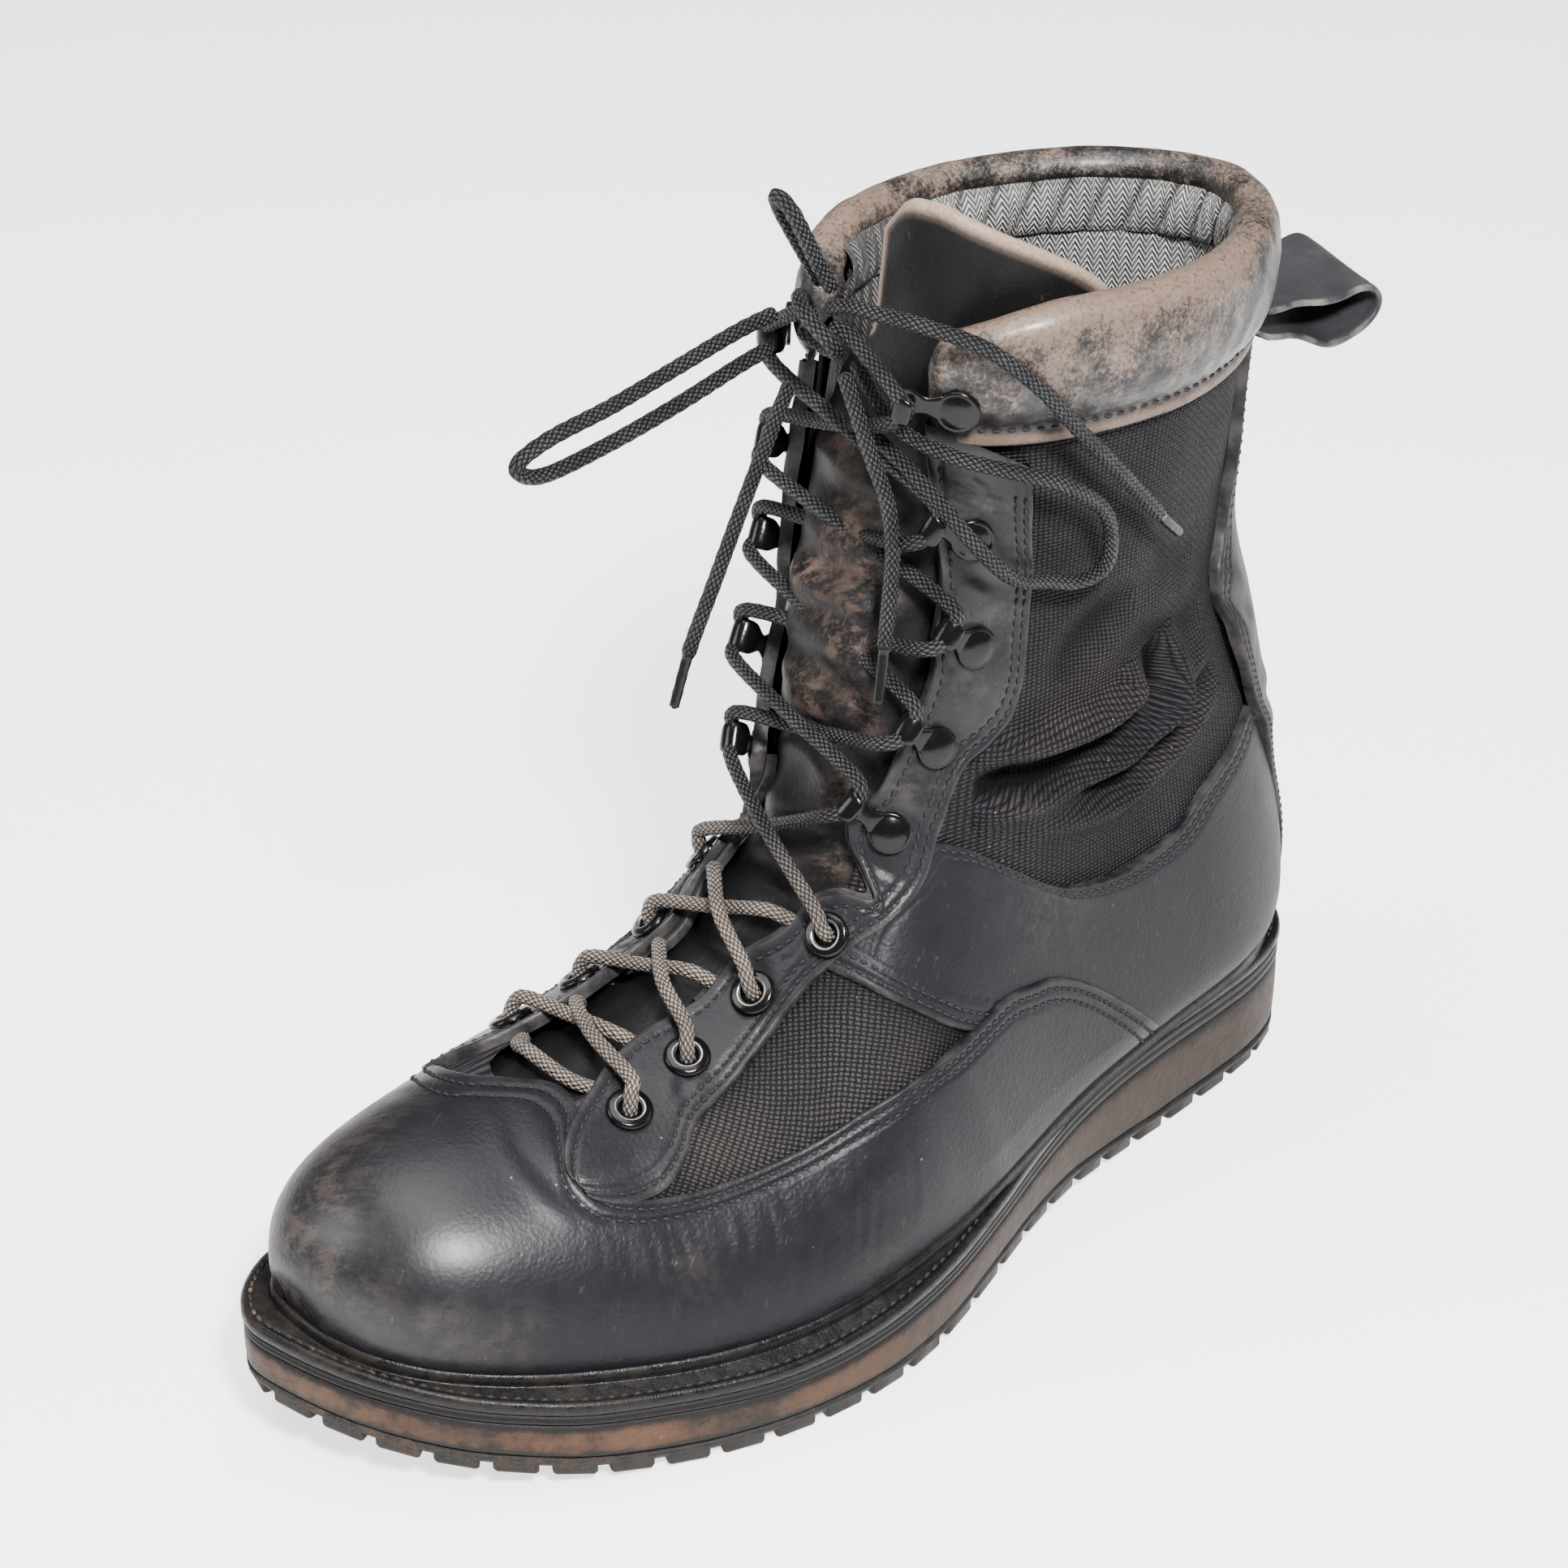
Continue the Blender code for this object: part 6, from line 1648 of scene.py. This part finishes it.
sew_line(welt_seam, np.array([[0, 0, 1.0]]) + 0 * welt_seam, pitch=3.1, long=2.3, wide=1.15, tan=1.0)


# ------------------------ Slip sole and midsole
# A thin black rubber slip sole under the welt, then a brown crepe wedge that is thickest under
# the heel, darker towards its top and bottom edges and scuffed at the toe.
# How far the slip sole's underside lies below the upper's lower edge, along the foot.
SLIP_FOOT = np.array([(-45, 12.6), (30, 12.4), (120, 10.6), (200, 9.8), (275, 9.8)])
# Height of the tread above the ground along the foot.
TREAD = np.array([
    (-50, 0), (-20, 0), (24, 0), (45, 2), (65, 4.6), (85, 5.4), (105, 4), (125, 1.2), (143, 0), (192, 0),
    (208, 1.4), (225, 4.2), (245, 8.6), (262, 13.2), (273, 16.6)])
LUG = 5.0                # height of a lug
SLIP = LOW - by_row(SLIP_FOOT, PLAN[:, 0])
GROUND = np.maximum(smooth(TREAD, PLAN[:, 0]), 0)


def crepe(name, black_front):
    """Brown crepe: orange-brown under dark stains in broad patches and darker towards the marked
    edges, with pale chips. black_front is where the brown gives way to black, going forward."""
    made = Finish(name, Specular_IOR_Level=0.15)
    mm = made.mm()
    broad, cloudy = made.cloud(mm, 21.0, 4.0, 0.6), made.cloud(mm, 4.5, 5.0, 0.68)
    fine = made.cloud(mm, 0.6, 3.0)
    drag = made.cloud(made.stretched(mm, (1.0, 1.0, 4.0)), 22.0, 4.0, 0.65)
    toe = ((made.part(mm, 0) - 110.0) / 90.0).step(0.0, 1.0)
    stain = made.held("edge") * 0.85 + broad * 0.5 + cloudy * 0.8 + drag * 0.5 + toe * 0.24 - 1.06
    bright = made.between(toe, (0.026, 0.0130, 0.0062), (0.115, 0.053, 0.026))
    brown = made.between(cloudy * 0.5 + fine * 0.5, (0.010, 0.0053, 0.0030), bright)
    colour = made.between(stain.step(-0.16, 0.36), brown, (0.0055, 0.0044, 0.0040))
    chips = made.cells(mm, 5.0).step(0.13, 0.06) * cloudy.step(0.52, 0.62)
    colour = made.between(chips * 0.6, colour, (0.13, 0.075, 0.045))
    forward = ((made.part(mm, 0) + broad * 40.0 - black_front - 20.0) / 30.0).step(0.0, 1.0)
    black = made.between(cloudy, (0.0025, 0.0025, 0.0025), (0.010, 0.009, 0.0085))
    made.feed("Base Color", made.between(forward, colour, black))
    made.feed("Roughness", 0.40 + cloudy * 0.25)
    made.feed("Normal", made.bump(cloudy * 1.0 + fine * 0.5, 0.35))
    return made


halfway = 0.5 * (SLIP + LOW - WELT_FOOT)
slip = stack("slip_layer", rims(PLAN, SLIP, ((-0.6, 0), (0.05, 0.35)))
             + rims(PLAN, halfway, ((0.1, -0.5), (-0.45, 0), (0.1, 0.5)))
             + rims(PLAN, LOW - WELT_FOOT, ((0.05, -0.5), (-0.6, -0.15))))
piece("slip_layer", slip, crepe("slip_crepe", -120.0), "slip_sole", "slip_sole")

wedge_low = GROUND + LUG + 0.2
# Side of the wedge: share of its height, how far out.
WEDGE_SIDE = (
    (0, -0.9), (0.05, -0.1), (0.12, 0.1), (0.25, 0.15), (0.5, 0.2), (0.75, 0.15), (0.88, 0.05),
    (0.95, -0.2), (1, -0.8))
wedge = [(widen(PLAN, out), wedge_low + (SLIP - 0.25 - wedge_low) * share) for share, out in WEDGE_SIDE]
mesh = stack("wedge", wedge)
shares = np.repeat([0.0] + [share for share, _ in WEDGE_SIDE] + [1.0], len(PLAN))
layer(mesh, "edge", np.abs(shares * 2 - 1) ** 4)
piece("wedge", mesh, crepe("brown_crepe", 900.0), "midsole", "midsole")


# ------------------------ Outsole
# Black lugged rubber cemented under the wedge. Square lugs stand round the whole edge, and
# three rows of smaller ones fill the middle; the ground has rubbed and dusted them.
LUG_PITCH = 13.6         # from one lug to the next
LUG_GAP = 3.0
LUG_RIM = (-0.1, 11.0)   # how far in from the sole's edge the edge lugs start and end
tread_rubber = rubber("tread_rubber", (0.0035, 0.0035, 0.0036), (0.014, 0.0135, 0.013), 0.42,
                      (0.040, 0.027, 0.019), 0.5, 9.0)
web = stack("web", rims(PLAN, GROUND + LUG,
                        ((-1.4, -2.6), (-0.3, -2.3), (0.15, -1.2), (0.15, -0.4), (-0.6, 0))))


def lug(corners, short=0.0):
    """Block on four corners in plan, its lower edges bevelled: rings from the web down, each
    following the slope of the tread."""
    centre = corners.mean(0)
    rounded = np.stack([corners * 0.94 + np.roll(corners, k, 0) * 0.06 for k in (1, -1)], 1).reshape(8, 2)
    rings = []
    for size, rise in ((1.0, LUG - 1.4), (1.0, short + 0.9), (0.94, short + 0.15), (0.86, short),
                       (0.01, short)):
        plan = centre + (rounded - centre) * size
        rings.append(np.column_stack([plan, np.maximum(smooth(TREAD, plan[:, 0]), 0) + rise]))
    return np.stack(rings)


plan_run = run_of(np.vstack([PLAN, PLAN[:1]]))
count = int(round(plan_run[-1] / LUG_PITCH))
rim_loops = [np.vstack([loop, loop[:1]]) for loop in (widen(PLAN, -depth) for depth in LUG_RIM)]
blocks = []
for k in range(count):
    ends = (np.array([k, k + 1 - LUG_GAP / LUG_PITCH]) + 0.1) * plan_run[-1] / count
    outer, inner = (along(ends, plan_run, loop) for loop in rim_loops)
    blocks.append(lug(np.vstack([outer, inner[::-1]])))
for x in np.arange(-24, 252, LUG_PITCH):
    left, right = (np.interp(x, OUTLINE[:, 0], OUTLINE[:, k]) for k in (1, 2))
    middle, half = 0.5 * (left + right), 0.5 * (left - right) - 15.5
    for share in (-0.64, 0.0, 0.64):
        if half > 9:
            size = np.array([(-4.6, -0.24 * half), (4.6, -0.24 * half), (4.6, 0.24 * half),
                             (-4.6, 0.24 * half)])
            blocks.append(lug(size + (x, middle + share * half), 0.2))
lugs = [grid_mesh("lug", rings, ring=True, outward=rings - rings.mean((0, 1))) for rings in blocks]
outsole = joined("lugged_sole", [web] + lugs)
piece("lugged_sole", outsole, tread_rubber, "outsole", "outsole")


# ------------------------ Eyelets and hooks
# Four pairs of steel eyelets, black outside and worn to silver in the bore, and five pairs of
# black enamelled speed hooks, each riveted through the leather under a round domed cap.
def enamel(name, chip_share):
    """Black enamel on steel, chipped where the lace rubs."""
    made = Finish(name, Specular_IOR_Level=0.20)
    mm = made.mm()
    cloudy, fine = made.cloud(mm, 2.2, 4.0), made.cloud(mm, 0.5, 2.0)
    bare = (made.held("bare") * 1.1 + cloudy * 0.7 - 0.70).step(0.10, 0.45) * chip_share
    made.feed("Base Color", made.between(bare, (0.0018, 0.0018, 0.0020), (0.30, 0.29, 0.275)))
    made.feed("Metallic", bare)
    made.feed("Roughness", 0.12 + cloudy * 0.10 + bare * 0.14)
    made.feed("Normal", made.bump(cloudy + fine * 0.4, 0.06))
    return made


steel = enamel("eyelet_steel", 1.0)
hook_enamel = enamel("hook_enamel", 0.85)
# Profile of an eyelet from outside in: radius, height, how bare.
EYELET = np.array([
    (5.55, -0.3, 0), (5.6, 0.15, 0), (5.3, 0.75, 0), (4.7, 1.05, 0), (4.1, 1.1, 0), (3.75, 1.2, 0.35),
    (3.4, 1.25, 0.9), (3.05, 0.95, 0.7), (2.85, 0.3, 0.3), (2.8, -0.3, 0), (1.6, -0.35, 0), (0, -0.35, 0)])
RIVET = np.array([
    (5.1, -0.5, 0), (5.2, 0.2, 0), (5.05, 0.75, 0), (4.7, 1, 0.15), (4.35, 0.92, 0), (4, 1.05, 0),
    (3, 1.45, 0), (1.8, 1.7, 0), (0.8, 1.78, 0), (0, 1.8, 0)])
# Arm of a hook: forward, height of its middle, half width, how bare.
ARM = np.array([
    (3.2, 0.35, 3.6, 0), (4.4, 0.5, 3.1, 0), (5.6, 0.7, 2.5, 0), (7.2, 0.85, 2.2, 0.1),
    (8.6, 0.95, 2.5, 0.1), (10, 1.1, 3.2, 0.15), (11.6, 1.4, 3.9, 0.1), (13, 2.3, 4.1, 0.15),
    (13.8, 3.7, 4.1, 0.25), (13.5, 5.2, 3.9, 0.3), (12.3, 6.3, 3.6, 0.25), (10.6, 6.75, 3.1, 0.3),
    (9.6, 6.7, 2.6, 0.2)])


ARM_RINGS = 46           # rings along the arm
ARM_POINTS = 20          # points round each ring


def turned_part(key, profile, turns=40):
    """Profile of radius and height turned round a fitting's axis."""
    centre, forward, up, out = SEATS[key]
    turn = circle(turns)
    ray = np.cos(turn)[:, None] * forward + np.sin(turn)[:, None] * up
    points = centre + ray[None] * profile[:, 0][:, None, None] + out * profile[:, 1][:, None, None]
    mesh = grid_mesh("turned", points, ring=True, outward=out + 0.4 * ray[None] + 0 * points)
    layer(mesh, "bare", np.repeat(profile[:, 2], turns))
    return mesh


def hook_arm(key):
    """Flat bar carried along the arm's path, rounded across, narrow at the neck, with both
    ends drawn in."""
    centre, forward, up, out = SEATS[key]
    rows = curve(ARM, np.linspace(0, len(ARM) - 1, ARM_RINGS))
    way = normed(np.gradient(rows[:, :2], axis=0))
    turn = circle(ARM_POINTS)
    ring = np.arange(ARM_RINGS)
    full = domed(np.minimum(ring, ring[::-1]) / 3.0)[:, None]
    wide = rows[:, 2, None] * full * squared(np.cos(turn), 0.55)
    thick = 0.72 * full * squared(np.sin(turn), 0.8)
    ahead = rows[:, 0, None] - way[:, 1, None] * thick
    high = rows[:, 1, None] + way[:, 0, None] * thick
    points = centre + forward * ahead[..., None] + out * high[..., None] + up * wide[..., None]
    middle = centre + forward * rows[:, 0, None] + out * rows[:, 1, None]
    mesh = grid_mesh("arm", points, ring=True, outward=points - middle[:, None])
    layer(mesh, "bare", np.repeat(rows[:, 3], ARM_POINTS))
    return mesh


for key in SEATS:
    node = "%s_%s_%d" % key
    if key[0] == "eyelet":
        piece("ring_%s_%d" % key[1:], turned_part(key, EYELET), steel, "eyelet", node)
    else:
        speed_hook = joined("speed_hook", [hook_arm(key), turned_part(key, RIVET)])
        piece("speed_%s_%d" % key[1:], speed_hook, hook_enamel, "hook", node)


# ------------------------ Stitches
# Bonded black thread through the leather, thick waxed thread through the welt. Each stitch
# is a short loop that stands a little proud of its groove.
def stitches():
    """All stitches as one mesh: each is a spindle of three rings of six points and two ends,
    its middle raised and its ends sunk."""
    spots_along = np.array([-0.42, 0.0, 0.42])
    girth = np.array([0.72, 1.0, 0.72])[:, None]
    sunk = np.array([-0.12, 0.2, -0.12])[:, None]
    turn = circle(6)
    blocks, tans, triangles = [], [], []
    for k in range(6):
        n = (k + 1) % 6
        triangles += [(18, n, k)]
        for r in (0, 6):
            triangles += [(r + k, r + n, r + 6 + n), (r + k, r + 6 + n, r + 6 + k)]
        triangles += [(12 + k, 12 + n, 19)]
    triangles = np.array(triangles)
    for centre, way, out, long, wide, tan in SEAMS:
        way = normed(way)
        out = normed(out - way * (out * way).sum(1, keepdims=True))
        across = np.cross(way, out)
        rings = (centre[:, None, None] + way[:, None, None] * (spots_along * long)[None, :, None, None]
                 + across[:, None, None] * (np.cos(turn) * girth)[None, ..., None] * wide / 2
                 + out[:, None, None] * (np.sin(turn) * girth * wide / 2 + sunk * wide)[None, ..., None])
        ends = np.stack([centre + way * long * end - out * 0.35 * wide for end in (-0.53, 0.53)], 1)
        block = np.concatenate([rings.reshape(len(centre), 18, 3), ends], 1)
        blocks.append(block)
        tans.append(np.full(block.shape[:2], tan))
    blocks = np.concatenate(blocks)
    faces = triangles[None] + 20 * np.arange(len(blocks))[:, None, None]
    mesh = raw_mesh("stitches", blocks.reshape(-1, 3), faces.reshape(-1, 3))
    layer(mesh, "tan", np.concatenate(tans))
    return mesh


thread = Finish("thread", Specular_IOR_Level=0.2)
thread_mm = thread.mm()
twist = thread.cloud(thread_mm, 0.35, 2.0)
toe_wear = thread.part(thread_mm, 0) / 90.0 + thread.cloud(thread_mm, 7.0, 2.0) * 3.2 - 4.55
worn_off = thread.held("tan") * toe_wear.step(0.0, 0.5)
black_thread = thread.between(twist, (0.002, 0.002, 0.0023), (0.016, 0.0155, 0.0165))
tan_thread = thread.between(twist, (0.03, 0.019, 0.012), (0.125, 0.082, 0.052))
thread.feed("Base Color", thread.between(worn_off, black_thread, tan_thread))
thread.feed("Roughness", 0.55 + twist * 0.2)
thread.feed("Normal", thread.bump(twist, 0.12))
piece("stitches", stitches(), thread, "upper")
